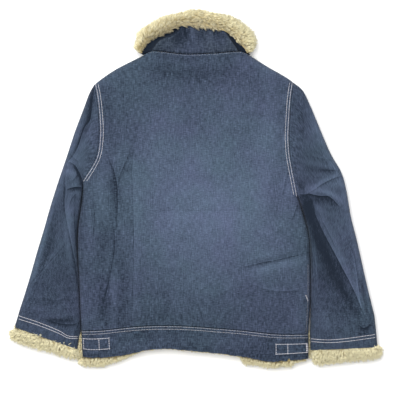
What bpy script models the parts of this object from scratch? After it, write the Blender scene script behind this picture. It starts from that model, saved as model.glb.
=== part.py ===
"""Sherpa lined denim jacket, laid face down with its collar turned up.

The jacket lies flat on a surface at z = 0, its back upwards and its collar towards +Y.
Every panel is worked out from an outline in plan and a height over the surface.
"""
import math
from collections import namedtuple

import bmesh
import bpy
import numpy as np

# Sizes are in millimetres here, and every point is scaled to metres when a mesh is made.
METRES_PER_MM = 0.001

# Thickness of the cloth and of the laid jacket
GAP = 0.3  # between two pieces
SEAM_GAP = 0.6  # between a sleeve and the body
COLLAR_SEAM_GAP = 0.8  # between the collar and the body
WAIST_GAP = 0.9  # between the waistband and the body
FRONT_THICKNESS = 15.7  # denim with its pile lining
BODY_TOP = 31.0  # back over front, at the sides
BODY_CROWN = 3.0  # more at the middle of the back
SLEEVE_TOP = 30.0
SLEEVE_MIDDLE = FRONT_THICKNESS + 0.5 * GAP
SHELL_EDGE = 1.6  # bare denim where a rolled edge ends
BAND_WALL = 3.0  # waistband, two layers of denim
COLLAR_WALL = 2.0  # under-collar with its interfacing
TAB_WALL = 2.2
CUFF_WALL = 2.0  # turned cuff, clear of the pile
SLEEVE_WALL = 13.5  # denim with its pile lining
SLIT = 1.5  # half the space left inside a laid sleeve
ROLL = 16.0  # radius of a rolled edge
ROLL_ANGLES = (0.0, 28.0, 58.0, 90.0)  # degrees, where a rolled edge is sampled
SLEEVE_SPAN = 170.0  # round figures for how far apart a piece's rolled edges lie
BODY_SPAN = 490.0
BAND_SPAN = 500.0
RING_POINTS = 9  # of a sleeve's ring between its rolls
BACK_COLUMNS = 19
FRONT_COLUMNS = 6
SIDE_ROWS = 10

# Front closure, as fractions of the way across the body
LAP_START = 0.46
LAP_END = 0.54
LAP_STEP = 0.001
LAP_THICKNESS = 5.0
BUTTON_LINE = 0.5
BUTTON_CHANNEL = 0.025  # half the channel's width
CHANNEL_DEPTH = 1.8
BUTTON_COUNT = 6
BUTTON_FIRST = 0.08  # down the front, as a fraction
BUTTON_LAST = 0.92
BUTTON_RADIUS = 8.5
BUTTON_HEIGHT = 1.5

# Outlines in plan, x and y, each from left to right or from top to bottom
SHOULDER_LEFT = [(-223, 229), (-209, 237), (-165, 268), (-116, 293)]
NECK_SEAM = [(-116, 293), (-98, 301), (-78, 301), (-23, 295), (43, 297), (96, 301), (120, 293)]
SHOULDER_RIGHT = [(120, 293), (159, 268), (203, 241), (216, 233)]
ARMHOLE_LEFT = [(-223, 229), (-217, 199), (-212, 146), (-212, 108), (-217, 74), (-229, 48), (-250, 16)]
ARMHOLE_RIGHT = [(216, 233), (211, 199), (208, 158), (206, 116), (208, 78), (214, 42), (226, -19)]
SIDE_LEFT = [(-250, 16), (-249, -3), (-252, -36), (-258, -80), (-260, -124), (-257, -200), (-252, -313)]
SIDE_RIGHT = [(226, -19), (241, -69), (250, -105), (253, -157), (253, -245), (249, -320)]
WAIST_SEAM = [
    (-252, -313), (-205, -314), (-144, -309), (-67, -304),
    (-12, -305), (98, -314), (186, -321), (249, -320),
]
HEM = [
    (-249, -369), (-220, -373), (-164, -368), (-107, -356), (-60, -352),
    (-6, -358), (78, -369), (160, -382), (206, -378), (249, -373),
]
COLLAR_INNER = [
    (-118, 297), (-118, 306), (-105, 322), (-89, 333), (-50, 351), (-30, 360),
    (21, 359), (65, 346), (89, 328), (107, 309), (114, 298),
]
COLLAR_OUTER = [
    (-127, 297), (-135, 318), (-131, 336), (-120, 349), (-78, 377), (-45, 388), (-5, 398),
    (32, 394), (87, 375), (127, 344), (133, 322), (130, 306), (123, 297),
]

# How far the pile reaches below the hem, at fractions of the way across
HemPile = namedtuple("HemPile", "across reach")
HEM_PILE = [
    HemPile(0.00, 13),
    HemPile(0.05, 25),
    HemPile(0.11, 26),
    HemPile(0.18, 15),
    HemPile(0.26, 4),
    HemPile(0.45, 2),
    HemPile(0.66, 5),
    HemPile(0.72, 17),
    HemPile(0.78, 12),
    HemPile(0.84, 16),
    HemPile(0.90, 17),
    HemPile(1.00, 12),
]

HEM_PILE_ROWS = (0.02, 0.5, 0.985)  # from the waist seam to the hem
HEM_LIP = [(0.0, 0.72), (0.3, 0.98), (0.7, 0.80), (1.0, 0.35)]  # parts of its reach and height
PILE_INSET = 9.0  # of the pile inside a rolled edge
PILE_SPARE = 5.0  # more room for it where the edge rolls down
PILE_SPREAD = 12.0  # reach from which the pile spreads back out to the hem's ends
PILE_MIDDLE = 14.2
PILE_HALF = 13.8
PILE_HALF_INSIDE = 10.0  # where it stays between the layers of the band
PILE_HALF_LEAST = 1.0

# Sections of each sleeve: its outer edge, where its inner edge lies along the body's side and
# how far off it, how much of the armhole's curve it keeps, and its wall
Section = namedtuple("Section", "outer_x outer_y inner_y off_side curve wall")
LEFT_SECTIONS = [
    Section(-223, 229, 16, 0, 1.00, SLEEVE_WALL),
    Section(-233, 209, 8, 5, 0.75, SLEEVE_WALL),
    Section(-244, 177, -6, 4, 0.50, SLEEVE_WALL),
    Section(-265, 124, -36, 1, 0.25, SLEEVE_WALL),
    Section(-283, 72, -69, 0, 0.10, SLEEVE_WALL),
    Section(-300, 19, -107, 0, 0.02, SLEEVE_WALL),
    Section(-316, -34, -146, 0, 0.00, SLEEVE_WALL),
    Section(-331, -87, -184, 0, 0.00, SLEEVE_WALL),
    Section(-347, -140, -223, 0, 0.00, SLEEVE_WALL),
    Section(-362, -193, -261, 0, 0.00, SLEEVE_WALL),
    Section(-380, -245, -298, 2, 0.00, SLEEVE_WALL),
    Section(-385, -264, -312, 3, 0.00, CUFF_WALL),
    Section(-396, -305, -348, 9, 0.00, CUFF_WALL),
]
RIGHT_SECTIONS = [
    Section(216, 233, -19, 0, 1.00, SLEEVE_WALL),
    Section(236, 216, -34, 1, 0.80, SLEEVE_WALL),
    Section(253, 182, -61, 1, 0.55, SLEEVE_WALL),
    Section(275, 129, -91, 0, 0.25, SLEEVE_WALL),
    Section(298, 76, -124, 0, 0.10, SLEEVE_WALL),
    Section(321, 36, -153, 0, 0.02, SLEEVE_WALL),
    Section(332, -3, -179, 0, 0.00, SLEEVE_WALL),
    Section(342, -61, -210, 0, 0.00, SLEEVE_WALL),
    Section(355, -113, -241, 0, 0.00, SLEEVE_WALL),
    Section(366, -166, -266, 1, 0.00, SLEEVE_WALL),
    Section(377, -219, -287, 2, 0.00, SLEEVE_WALL),
    Section(388, -268, -306, 3, 0.00, SLEEVE_WALL),
    Section(391, -288, -318, 3, 0.00, CUFF_WALL),
    Section(398, -352, -351, 4, 0.00, CUFF_WALL),
]
SLEEVE_RINGS = 26
LINING_STEP = 0.035  # of the sleeve's length, where its wall thins to the bare cuff
CURVE_FADE = 7.0  # how fast the armhole's curve fades towards the underarm
CUFF_RINGS = 3  # rings of the sleeve that the cuff's pile reaches into

# Sections of the pile past each cuff: its two ends in plan and its height over the middle
PileSection = namedtuple("PileSection", "outer_x outer_y inner_x inner_y rise")
LEFT_CUFF_PILE = [
    PileSection(-404, -310, -260, -353, 17.0),
    PileSection(-412, -319, -257, -366, 16.0),
    PileSection(-410, -331, -257, -379, 12.0),
    PileSection(-403, -338, -262, -387, 5.0),
]
RIGHT_CUFF_PILE = [
    PileSection(407, -353, 257, -355, 17.0),
    PileSection(413, -362, 256, -369, 17.0),
    PileSection(411, -373, 256, -382, 13.0),
    PileSection(403, -379, 258, -391, 5.0),
]

# The largest folds: a line in plan, how wide the fold is and how far it rises or sinks
Fold = namedtuple("Fold", "x0 y0 x1 y1 width rise")
BODY_FOLDS = [
    Fold(106, -171, 246, -140, 14, -3.5),
    Fold(110, -194, 240, -164, 18, 3.0),
    Fold(-188, 52, -170, -20, 17, -3.5),
    Fold(-212, 20, -198, -60, 16, 3.0),
    Fold(-200, -190, -194, -300, 16, -3.5),
    Fold(-172, -180, -168, -300, 18, 2.5),
    Fold(196, 60, 168, -70, 20, -3.0),
    Fold(-110, 258, 110, 258, 24, -2.0),
]
LEFT_SLEEVE_FOLDS = [
    Fold(-225, 205, -232, 150, 15, -3.5),
    Fold(-232, 150, -276, 63, 15, -3.5),
    Fold(-276, -5, -280, -175, 24, 4.0),
    Fold(-288, 34, -266, 26, 14, 4.0),
    Fold(-266, 52, -252, 4, 13, -4.0),
    Fold(-322, -100, -350, -200, 20, -3.0),
    Fold(-331, -282, -270, -290, 15, -3.0),
]
RIGHT_SLEEVE_FOLDS = [
    Fold(262, -25, 310, -146, 20, 7.0),
    Fold(310, -146, 358, -245, 20, 7.0),
    Fold(358, -245, 380, -300, 18, 5.0),
    Fold(238, -28, 258, -96, 18, -9.0),
    Fold(264, -84, 290, -196, 18, -7.0),
    Fold(294, -205, 338, -272, 17, -4.0),
    Fold(240, -8, 318, 14, 18, 4.0),
    Fold(242, 50, 314, 34, 18, -3.0),
    Fold(352, -105, 370, -225, 16, -3.0),
]

# Collar: the creases where its sides turn down, and the heights that it stands at
COLLAR_CREASE_LEFT = [(-98, 300), (-82, 322), (-67, 331), (-38, 346), (-31, 362)]
COLLAR_CREASE_RIGHT = [(96, 300), (82, 320), (72, 334), (62, 350)]
COLLAR_SEAM_HEIGHT = 33.0
COLLAR_TOP_HEIGHT = 39.0
COLLAR_SIDE_DROP = 11.0
COLLAR_DROP_WIDTH = 11.0
COLLAR_DROP_START = 0.3  # part of the drop that is already made at the crease
COLLAR_RIM_HEIGHT = 46.0
COLLAR_COLUMNS = 29
COLLAR_ROWS = (0.0, 0.2, 0.4, 0.6, 0.8, 0.97)  # from the neck seam to the denim's edge
COLLAR_SEAT_END = 0.99

# Rows of the pile past the under-collar: how far out each lies, and its top and underside as
# parts of the rim's height
RimRow = namedtuple("RimRow", "outward top underside")
COLLAR_RIM = [
    RimRow(1.00, 0.30, 0.22),
    RimRow(0.93, 0.62, 0.05),
    RimRow(0.80, 0.86, 0.00),
    RimRow(0.60, 0.99, 0.00),
    RimRow(0.35, 1.00, 0.00),
    RimRow(0.12, 0.93, 0.00),
]

# Waistband rows, as fractions from the waist seam to the hem, at its two ends
BAND_ROWS_LEFT = (0.0, 0.27, 0.49, 0.71, 1.0)
BAND_ROWS_RIGHT = (0.0, 0.35, 0.55, 0.75, 1.0)
TAB_ROWS = (1, 3)
BAND_COLUMNS = 15  # of the waistband between its tabs
TAB_LENGTH_LEFT = 62.0
TAB_LENGTH_RIGHT = 73.0
TAB_DIVIDER_LEFT = 36.0
TAB_DIVIDER_RIGHT = 42.0
TAB_START = 3.0  # from the side's edge

DENIM = (0.070, 0.092, 0.140)
SHERPA = (0.72, 0.65, 0.43)
BUTTON_METAL = (0.45, 0.33, 0.20)


# Lines and curves in plan

def smooth_line(points, steps=10):
    """A dense polyline that runs smoothly through the points."""
    rows = np.array(points, float)
    padded = np.vstack([2 * rows[0] - rows[1], rows, 2 * rows[-1] - rows[-2]])
    line = []
    for index in range(len(rows) - 1):
        before, start, end, after = padded[index:index + 4]
        for t in np.linspace(0.0, 1.0, steps, endpoint=False):
            line.append(0.5 * (
                2 * start
                + (end - before) * t
                + (2 * before - 5 * start + 4 * end - after) * t ** 2
                + (3 * start - before - 3 * end + after) * t ** 3
            ))
    line.append(rows[-1])
    return np.array(line)


def join_lines(*lines):
    """Lines that follow each other, as one."""
    return np.vstack([lines[0]] + [line[1:] for line in lines[1:]])


def along(line, fraction):
    """The point at a fraction of a line's length."""
    lengths = np.linalg.norm(np.diff(line, axis=0), axis=1)
    travelled = np.concatenate([[0.0], np.cumsum(lengths)])
    target = fraction * travelled[-1]
    return np.array([np.interp(target, travelled, line[:, axis]) for axis in range(line.shape[1])])


def distance_to_line(x, y, line):
    """How far a point lies from a polyline."""
    start = line[:-1, :2]
    step = line[1:, :2] - start
    to_point = np.array([x, y]) - start
    t = np.clip((to_point * step).sum(axis=1) / (step ** 2).sum(axis=1), 0.0, 1.0)
    return float(np.linalg.norm(to_point - t[:, None] * step, axis=1).min())


def quarter_roll(distance, radius=ROLL):
    """Rise of a rolled edge, 0 at the edge and 1 past its radius."""
    rest = 1.0 - min(distance / radius, 1.0)
    return math.sqrt(max(0.0, 1.0 - rest * rest))


def ease(t):
    """A smooth step from 0 to 1."""
    t = min(max(t, 0.0), 1.0)
    return t * t * (3 - 2 * t)


def fold_rise(x, y, folds):
    """Height that the folds add at a point in plan."""
    total = 0.0
    for fold in folds:
        line = np.array([(fold.x0, fold.y0), (fold.x1, fold.y1)], float)
        total += fold.rise * math.exp(-(distance_to_line(x, y, line) / fold.width) ** 2)
    return total


def roll_distances():
    """Distances in from a rolled edge at which it is sampled."""
    return [ROLL * (1 - math.cos(math.radians(angle))) for angle in ROLL_ANGLES]


def spread(length, count):
    """Fractions of a length, close together at both rolled ends and even between."""
    ends = [distance / length for distance in roll_distances()]
    middle = np.linspace(ends[-1], 1 - ends[-1], count + 2)[1:-1]
    return ends + list(middle) + [1 - end for end in reversed(ends)]


RING_PLACES = spread(SLEEVE_SPAN, RING_POINTS)


# Meshes

def make_object(name, points, faces, material, parent):
    """One closed mesh object in metres."""
    mesh = bpy.data.meshes.new(name)
    mesh.from_pydata([tuple(point * METRES_PER_MM) for point in points], [], faces)
    shape = bmesh.new()
    shape.from_mesh(mesh)
    bmesh.ops.recalc_face_normals(shape, faces=shape.faces)
    shape.to_mesh(mesh)
    shape.free()
    mesh.materials.append(material)
    mesh.shade_smooth()
    item = bpy.data.objects.new(name, mesh)
    item.parent = parent
    bpy.context.scene.collection.objects.link(item)
    return item


def layer_solid(name, upper, lower, material, parent):
    """A solid between two grids of points, whose rows run down and columns run right."""
    upper = np.asarray(upper, float)
    lower = np.asarray(lower, float)
    rows, columns = upper.shape[:2]
    base = rows * columns
    points = np.concatenate([upper.reshape(-1, 3), lower.reshape(-1, 3)])
    faces = []
    for row in range(rows - 1):
        for column in range(columns - 1):
            corner = row * columns + column
            quad = (corner, corner + columns, corner + columns + 1, corner + 1)
            faces.append(quad)
            faces.append(tuple(base + quad[index] for index in (0, 3, 2, 1)))
    top_edge = list(range(columns))
    right_edge = [row * columns + columns - 1 for row in range(1, rows)]
    bottom_edge = [(rows - 1) * columns + column for column in range(columns - 2, -1, -1)]
    left_edge = [row * columns for row in range(rows - 2, 0, -1)]
    rim = top_edge + right_edge + bottom_edge + left_edge
    for start, end in zip(rim, rim[1:] + rim[:1]):
        faces.append((start, end, base + end, base + start))
    return make_object(name, points, faces, material, parent)


def grid_normals(grid):
    """Unit normals of a grid of points, on the side that its rows and columns turn up."""
    down = np.gradient(grid, axis=0)
    right = np.gradient(grid, axis=1)
    normals = np.cross(right, -down)
    return normals / np.linalg.norm(normals, axis=2, keepdims=True)


def cloth(name, grid, wall, material, parent):
    """A wall of cloth whose outer face is the grid."""
    grid = np.asarray(grid, float)
    return layer_solid(name, grid, grid - wall * grid_normals(grid), material, parent)


def ring_faces(rings, size):
    """Quads between rings that follow each other, given each ring's first index."""
    faces = []
    for first, second in zip(rings, rings[1:]):
        for index in range(size):
            following = (index + 1) % size
            faces.append((first + index, first + following, second + following, second + index))
    return faces


# Body: one grid in plan serves the back and both fronts

shoulder_left = smooth_line(SHOULDER_LEFT)
shoulder_right = smooth_line(SHOULDER_RIGHT)
neck_seam = smooth_line(NECK_SEAM)
armhole_left = smooth_line(ARMHOLE_LEFT)
armhole_right = smooth_line(ARMHOLE_RIGHT)
side_left = smooth_line(SIDE_LEFT)
side_right = smooth_line(SIDE_RIGHT)
waist_seam = smooth_line(WAIST_SEAM)
hem = smooth_line(HEM)

body_top = join_lines(shoulder_left, neck_seam, shoulder_right)
body_left = join_lines(armhole_left, side_left)
body_right = join_lines(armhole_right, side_right)
band_left = np.array([waist_seam[0], hem[0]])
band_right = np.array([waist_seam[-1], hem[-1]])
rolled_edges = [
    shoulder_left,
    shoulder_right,
    join_lines(side_left, band_left),
    join_lines(side_right, band_right),
]


def patch_point(top, bottom, left, right, across, down):
    """A point of the patch that four lines bound."""
    corners = (
        (1 - across) * (1 - down) * top[0]
        + across * (1 - down) * top[-1]
        + (1 - across) * down * bottom[0]
        + across * down * bottom[-1]
    )
    ruled_down = (1 - down) * along(top, across) + down * along(bottom, across)
    ruled_across = (1 - across) * along(left, down) + across * along(right, down)
    return ruled_down + ruled_across - corners


def line_length(line):
    return float(np.linalg.norm(np.diff(line, axis=0), axis=1).sum())


def body_rows():
    """Rows of the body, as fractions down its left and right sides.

    Down the armholes they lie at the points of each sleeve's first ring.
    """
    armhole_share_left = line_length(armhole_left) / line_length(body_left)
    armhole_share_right = line_length(armhole_right) / line_length(body_right)
    rows = [(place * armhole_share_left, place * armhole_share_right) for place in RING_PLACES]
    for place in np.linspace(0.0, 1.0, SIDE_ROWS + 1)[1:]:
        rows.append((
            armhole_share_left + place * (1 - armhole_share_left),
            armhole_share_right + place * (1 - armhole_share_right),
        ))
    return rows


def body_point(across, row):
    """A point of the body in plan, on one of its rows."""
    down = (1 - across) * row[0] + across * row[1]
    return patch_point(body_top, waist_seam, body_left, body_right, across, down)


def edge_rise(x, y):
    """How far a point is up the nearest rolled edge of the body."""
    return quarter_roll(min(distance_to_line(x, y, line) for line in rolled_edges))


def body_height(x, y):
    """Height of the laid back over the surface."""
    half_width = 0.5 * (side_right[-1][0] - side_left[-1][0])
    crown = BODY_CROWN * max(0.0, 1 - (x / half_width) ** 2)
    top = BODY_TOP + crown + fold_rise(x, y, BODY_FOLDS)
    edge = FRONT_THICKNESS + GAP + SHELL_EDGE
    return edge + (top - edge) * edge_rise(x, y)


def make_back(material, parent):
    upper = []
    for body_row in body_rows():
        row = []
        for across in spread(BODY_SPAN, BACK_COLUMNS):
            x, y = body_point(across, body_row)
            row.append((x, y, body_height(x, y)))
        upper.append(row)
    upper = np.array(upper)
    lower = upper.copy()
    lower[:, :, 2] = FRONT_THICKNESS + GAP
    layer_solid("back", upper, lower, material, parent)


def front_columns(left_side):
    """Columns of one front, with the steps of its lap and of the button channel."""
    step = LAP_STEP
    channel_left = BUTTON_LINE - BUTTON_CHANNEL
    channel_right = BUTTON_LINE + BUTTON_CHANNEL
    edge = [distance / BODY_SPAN for distance in roll_distances()]
    if left_side:
        plain = list(np.linspace(edge[-1], LAP_START - 2 * step, FRONT_COLUMNS))
        lap = [LAP_START - step, channel_left, channel_left + step]
        return edge[:-1] + plain + lap + [channel_right - step, channel_right, LAP_END]
    plain = list(np.linspace(LAP_END + 2 * step, 1 - edge[-1], FRONT_COLUMNS))
    return [LAP_START, LAP_END + step] + plain + [1 - value for value in reversed(edge[:-1])]


def front_faces(left_side, across, x, y):
    """Top and underside of one front at a point."""
    underside = (FRONT_THICKNESS - SHELL_EDGE) * (1 - edge_rise(x, y))
    top = FRONT_THICKNESS
    half_step = 0.5 * LAP_STEP
    if left_side and across > LAP_START - LAP_STEP - half_step:
        top = LAP_THICKNESS
    if left_side and abs(across - BUTTON_LINE) < BUTTON_CHANNEL - half_step:
        underside = CHANNEL_DEPTH
    if not left_side and across < LAP_END + LAP_STEP + half_step:
        underside = LAP_THICKNESS + GAP
    return top, underside


def make_front(name, left_side, material, parent):
    upper = []
    lower = []
    for body_row in body_rows():
        upper_row = []
        lower_row = []
        for across in front_columns(left_side):
            x, y = body_point(across, body_row)
            top, underside = front_faces(left_side, across, x, y)
            upper_row.append((x, y, top))
            lower_row.append((x, y, min(underside, top - SHELL_EDGE)))
        upper.append(upper_row)
        lower.append(lower_row)
    layer_solid(name, upper, lower, material, parent)


def make_buttons(material, parent):
    for index, down in enumerate(np.linspace(BUTTON_FIRST, BUTTON_LAST, BUTTON_COUNT)):
        x, y = body_point(BUTTON_LINE, (down, down))
        bpy.ops.mesh.primitive_cylinder_add(
            vertices=16,
            radius=BUTTON_RADIUS * METRES_PER_MM,
            depth=BUTTON_HEIGHT * METRES_PER_MM,
            location=(x * METRES_PER_MM, y * METRES_PER_MM, 0.5 * BUTTON_HEIGHT * METRES_PER_MM),
        )
        button = bpy.context.object
        button.name = f"button_{index + 1}"
        button.data.materials.append(material)
        button.parent = parent


# Sleeves: rings along each sleeve, from the armhole to the cuff

def ring_of(side, armhole, section, inset, height_at, distances, sign):
    """Upper and lower points of one ring, moved in by an inset, from its outer edge to its inner."""
    side_x = np.interp(-section.inner_y, -side[:, 1], side[:, 0])
    outer = np.array([section.outer_x, section.outer_y], float)
    inner = np.array([side_x + sign * max(0.0, section.off_side), section.inner_y])
    width = np.linalg.norm(inner - outer)
    middle = SLEEVE_MIDDLE
    upper = []
    lower = []
    for place in distances:
        fraction = (inset + place * (width - 2 * inset)) / width
        chord = (1 - place) * armhole[0] + place * armhole[-1]
        kept = max(0.0, section.curve) ** (1 + CURVE_FADE * place)
        x, y = (1 - fraction) * outer + fraction * inner + kept * (along(armhole, fraction) - chord)
        x += sign * SEAM_GAP
        nearest = min(place, 1 - place) * width
        rise = quarter_roll(nearest)
        top = max(SLIT, height_at(x, y) - middle - inset)
        bottom = max(SLIT, middle - inset)
        upper.append((x, y, middle + top * rise))
        lower.append((x, y, middle - bottom * rise))
    return np.array(upper), np.array(lower)


def section_line(sections):
    """A sleeve's sections as one smooth line through all their columns."""
    return smooth_line([row[:5] for row in sections])


def section_travel(sections):
    """Fractions of a sleeve's length at its dense sections, measured along its middle."""
    line = section_line(sections)
    middle = 0.5 * (line[:, :2] + line[:, [0, 2]])
    lengths = np.linalg.norm(np.diff(middle, axis=0), axis=1)
    return np.concatenate([[0.0], np.cumsum(lengths)]) / lengths.sum()


def cuff_start(sections):
    """Fraction of the sleeve's length from which its wall is the bare cuff."""
    travel = section_travel(sections)
    bare = [index for index, row in enumerate(sections) if row.wall == CUFF_WALL]
    return travel[bare[0] * (len(travel) - 1) // (len(sections) - 1)]


def sleeve_section(sections, fraction):
    """The section at a fraction of the sleeve's length."""
    line = section_line(sections)
    travel = section_travel(sections)
    values = [np.interp(fraction, travel, line[:, column]) for column in range(line.shape[1])]
    bare = fraction > cuff_start(sections) - 0.5 * LINING_STEP
    wall = CUFF_WALL if bare else SLEEVE_WALL
    return Section(*values, wall)


def loop_points(upper, lower):
    """The two halves of a ring as one loop."""
    return np.vstack([upper, lower[-2:0:-1]])


def cap_faces(first, half):
    """Faces that close a ring, between its upper and lower points."""
    size = 2 * half - 2
    pairs = [(first + index, first + (size - index) % size) for index in range(half)]
    faces = [(pairs[0][0], pairs[1][0], pairs[1][1])]
    for (upper_a, lower_a), (upper_b, lower_b) in zip(pairs[1:-2], pairs[2:-1]):
        faces.append((lower_a, upper_a, upper_b, lower_b))
    faces.append((pairs[-2][1], pairs[-2][0], pairs[-1][0]))
    return faces


Sleeve = namedtuple("Sleeve", "name sections folds side armhole sign pile pile_name")
SLEEVES = [
    Sleeve("sleeve_left", LEFT_SECTIONS, LEFT_SLEEVE_FOLDS, join_lines(side_left, band_left),
           armhole_left, -1, LEFT_CUFF_PILE, "cuff_sherpa_left"),
    Sleeve("sleeve_right", RIGHT_SECTIONS, RIGHT_SLEEVE_FOLDS, join_lines(side_right, band_right),
           armhole_right, 1, RIGHT_CUFF_PILE, "cuff_sherpa_right"),
]


def sleeve_rings(sleeve, fractions, extra_inset=None):
    """Rings of a sleeve at fractions of its length, moved in by its own wall or not at all."""
    rings = []
    for fraction in fractions:
        section = sleeve_section(sleeve.sections, fraction)
        inset = 0.0 if extra_inset is None else section.wall + extra_inset
        rings.append(ring_of(
            sleeve.side, sleeve.armhole, section, inset,
            lambda x, y: SLEEVE_TOP + fold_rise(x, y, sleeve.folds),
            RING_PLACES, sleeve.sign,
        ))
    return rings


def bare_rings(sleeve):
    """Where the sleeve's rings lie along its bare cuff."""
    return list(np.linspace(cuff_start(sleeve.sections), 1.0, CUFF_RINGS))


def make_sleeve(sleeve, material, parent):
    bare = bare_rings(sleeve)
    lined = list(np.linspace(0.0, bare[0] - LINING_STEP, SLEEVE_RINGS - CUFF_RINGS))
    outer = [loop_points(*ring) for ring in sleeve_rings(sleeve, lined + bare)]
    inner = [loop_points(*ring) for ring in sleeve_rings(sleeve, lined + bare, 0.0)]
    size = len(outer[0])
    count = len(outer)
    points = np.vstack(outer + inner)
    outer_first = [index * size for index in range(count)]
    inner_first = [(count + index) * size for index in range(count)]
    faces = ring_faces(outer_first, size)
    faces += ring_faces(inner_first, size)
    faces += ring_faces([inner_first[0], outer_first[0]], size)
    faces += ring_faces([outer_first[-1], inner_first[-1]], size)
    make_object(sleeve.name, points, faces, material, parent)


def pile_ring(section, distances):
    """A ring of the pile past a cuff."""
    outer = np.array([section.outer_x, section.outer_y], float)
    inner = np.array([section.inner_x, section.inner_y], float)
    width = np.linalg.norm(inner - outer)
    middle = SLEEVE_MIDDLE
    upper = []
    lower = []
    for place in distances:
        x, y = (1 - place) * outer + place * inner
        rise = quarter_roll(min(place, 1 - place) * width)
        upper.append((x, y, middle + section.rise * rise))
        lower.append((x, y, middle - min(section.rise, middle) * rise))
    return np.array(upper), np.array(lower)


def make_cuff_pile(sleeve, material, parent):
    rings = sleeve_rings(sleeve, bare_rings(sleeve), GAP)
    rings += [pile_ring(section, RING_PLACES) for section in sleeve.pile]
    loops = [loop_points(*ring) for ring in rings]
    half = len(rings[0][0])
    size = len(loops[0])
    firsts = [index * size for index in range(len(loops))]
    faces = ring_faces(firsts, size)
    faces += cap_faces(firsts[0], half)
    faces += cap_faces(firsts[-1], half)
    make_object(sleeve.pile_name, np.vstack(loops), faces, material, parent)


# Waistband, tabs and the pile at the hem

def band_columns():
    """Columns of the waistband, with one at each tab's inner end."""
    left = roll_distances() + [TAB_DIVIDER_LEFT, TAB_LENGTH_LEFT]
    right = roll_distances() + [TAB_DIVIDER_RIGHT, TAB_LENGTH_RIGHT]
    left = [distance / BAND_SPAN for distance in left]
    right = [1 - distance / BAND_SPAN for distance in right]
    middle = list(np.linspace(left[-1], right[-1], BAND_COLUMNS + 1))[1:-1]
    return left + middle + list(reversed(right))


def band_point(across, row):
    """A point of the waistband in plan."""
    down = (1 - across) * BAND_ROWS_LEFT[row] + across * BAND_ROWS_RIGHT[row]
    return patch_point(waist_seam, hem, band_left, band_right, across, down)


def band_grid(across_list):
    """Outer face of the back of the waistband, just below the waist seam."""
    grid = []
    for row in range(len(BAND_ROWS_LEFT)):
        line = []
        for across in across_list:
            x, y = band_point(across, row)
            line.append((x, y - WAIST_GAP, body_height(x, y)))
        grid.append(line)
    return np.array(grid)


def make_band_back(material, parent):
    cloth("waistband_back", band_grid(band_columns()), BAND_WALL, material, parent)


def make_band_front(name, columns, material, parent):
    lower = []
    for row in range(len(BAND_ROWS_LEFT)):
        line = []
        for across in columns:
            x, y = band_point(across, row)
            line.append((x, y - WAIST_GAP, (FRONT_THICKNESS - SHELL_EDGE) * (1 - edge_rise(x, y))))
        lower.append(line)
    lower = np.array(lower)
    upper = lower + BAND_WALL * grid_normals(lower)
    layer_solid(name, upper, lower, material, parent)


def make_tabs(material, parent):
    columns = band_columns()
    grid = band_grid(columns)
    normals = grid_normals(grid)
    rows = slice(TAB_ROWS[0], TAB_ROWS[1] + 1)
    from_left = np.array(columns) * BAND_SPAN
    from_right = BAND_SPAN - from_left
    ends = (
        ("tab_left", from_left, TAB_LENGTH_LEFT),
        ("tab_right", from_right, TAB_LENGTH_RIGHT),
    )
    for name, distance, length in ends:
        under_tab = np.flatnonzero((distance >= TAB_START) & (distance <= length + GAP))
        span = slice(under_tab[0], under_tab[-1] + 1)
        lower = grid[rows, span] + GAP * normals[rows, span]
        upper = grid[rows, span] + (GAP + TAB_WALL) * normals[rows, span]
        layer_solid(name, upper, lower, material, parent)


def hem_reach(across):
    """How far the pile reaches below the hem."""
    places = [row.across for row in HEM_PILE]
    return float(np.interp(across, places, [row.reach for row in HEM_PILE]))


def hem_pile_row(down, columns):
    """Upper and lower points of the pile between the waistband's back and front."""
    upper = []
    lower = []
    for across in columns:
        x, y = patch_point(waist_seam, hem, band_left, band_right, across, down)
        rise = edge_rise(x, y)
        spare = PILE_SPARE * (1 - rise)
        top = body_height(x, y) - BAND_WALL - WAIST_GAP - spare
        underside = (FRONT_THICKNESS - SHELL_EDGE) * (1 - rise) + BAND_WALL + WAIST_GAP
        middle = 0.5 * (top + underside)
        upper.append((x, y - WAIST_GAP, max(top, middle + PILE_HALF_LEAST)))
        lower.append((x, y - WAIST_GAP, min(underside, middle - PILE_HALF_LEAST)))
    return upper, lower


def hem_pile_lip(past, lift, columns):
    """Upper and lower points of the pile below the hem, past it by a part of its reach."""
    upper = []
    lower = []
    for across in columns:
        x, y = along(hem, across)
        reach = hem_reach(across)
        share = min(1.0, reach / PILE_SPREAD)
        x += share * PILE_INSET * past * (2 * across - 1)
        rise = quarter_roll(min(across, 1 - across) * BAND_SPAN + SHELL_EDGE)
        half = (PILE_HALF_INSIDE + (PILE_HALF - PILE_HALF_INSIDE) * share) * rise * lift
        y -= WAIST_GAP + SEAM_GAP + past * reach
        upper.append((x, y, PILE_MIDDLE + half))
        lower.append((x, y, PILE_MIDDLE - half))
    return upper, lower


def make_hem_pile(material, parent):
    inner_share = 1 - 2 * PILE_INSET / BAND_SPAN
    columns = [0.5 + (across - 0.5) * inner_share for across in band_columns()]
    rows = [hem_pile_row(down, columns) for down in HEM_PILE_ROWS]
    rows += [hem_pile_lip(past, lift, columns) for past, lift in HEM_LIP]
    upper = [row[0] for row in rows]
    lower = [row[1] for row in rows]
    layer_solid("hem_sherpa", upper, lower, material, parent)


# Collar, turned up: denim outside, with the pile rolled round its edge

collar_foot = neck_seam + np.array([0.0, COLLAR_SEAM_GAP])
collar_inner = smooth_line(COLLAR_INNER)
collar_outer = smooth_line(COLLAR_OUTER)
crease_left = smooth_line(COLLAR_CREASE_LEFT)
crease_right = smooth_line(COLLAR_CREASE_RIGHT)


def beyond_crease(x, y):
    """How far a point of the collar lies outside its creases, negative between them."""
    left = np.interp(y, crease_left[:, 1], crease_left[:, 0]) - x
    right = x - np.interp(y, crease_right[:, 1], crease_right[:, 0])
    return max(left, right)


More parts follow.
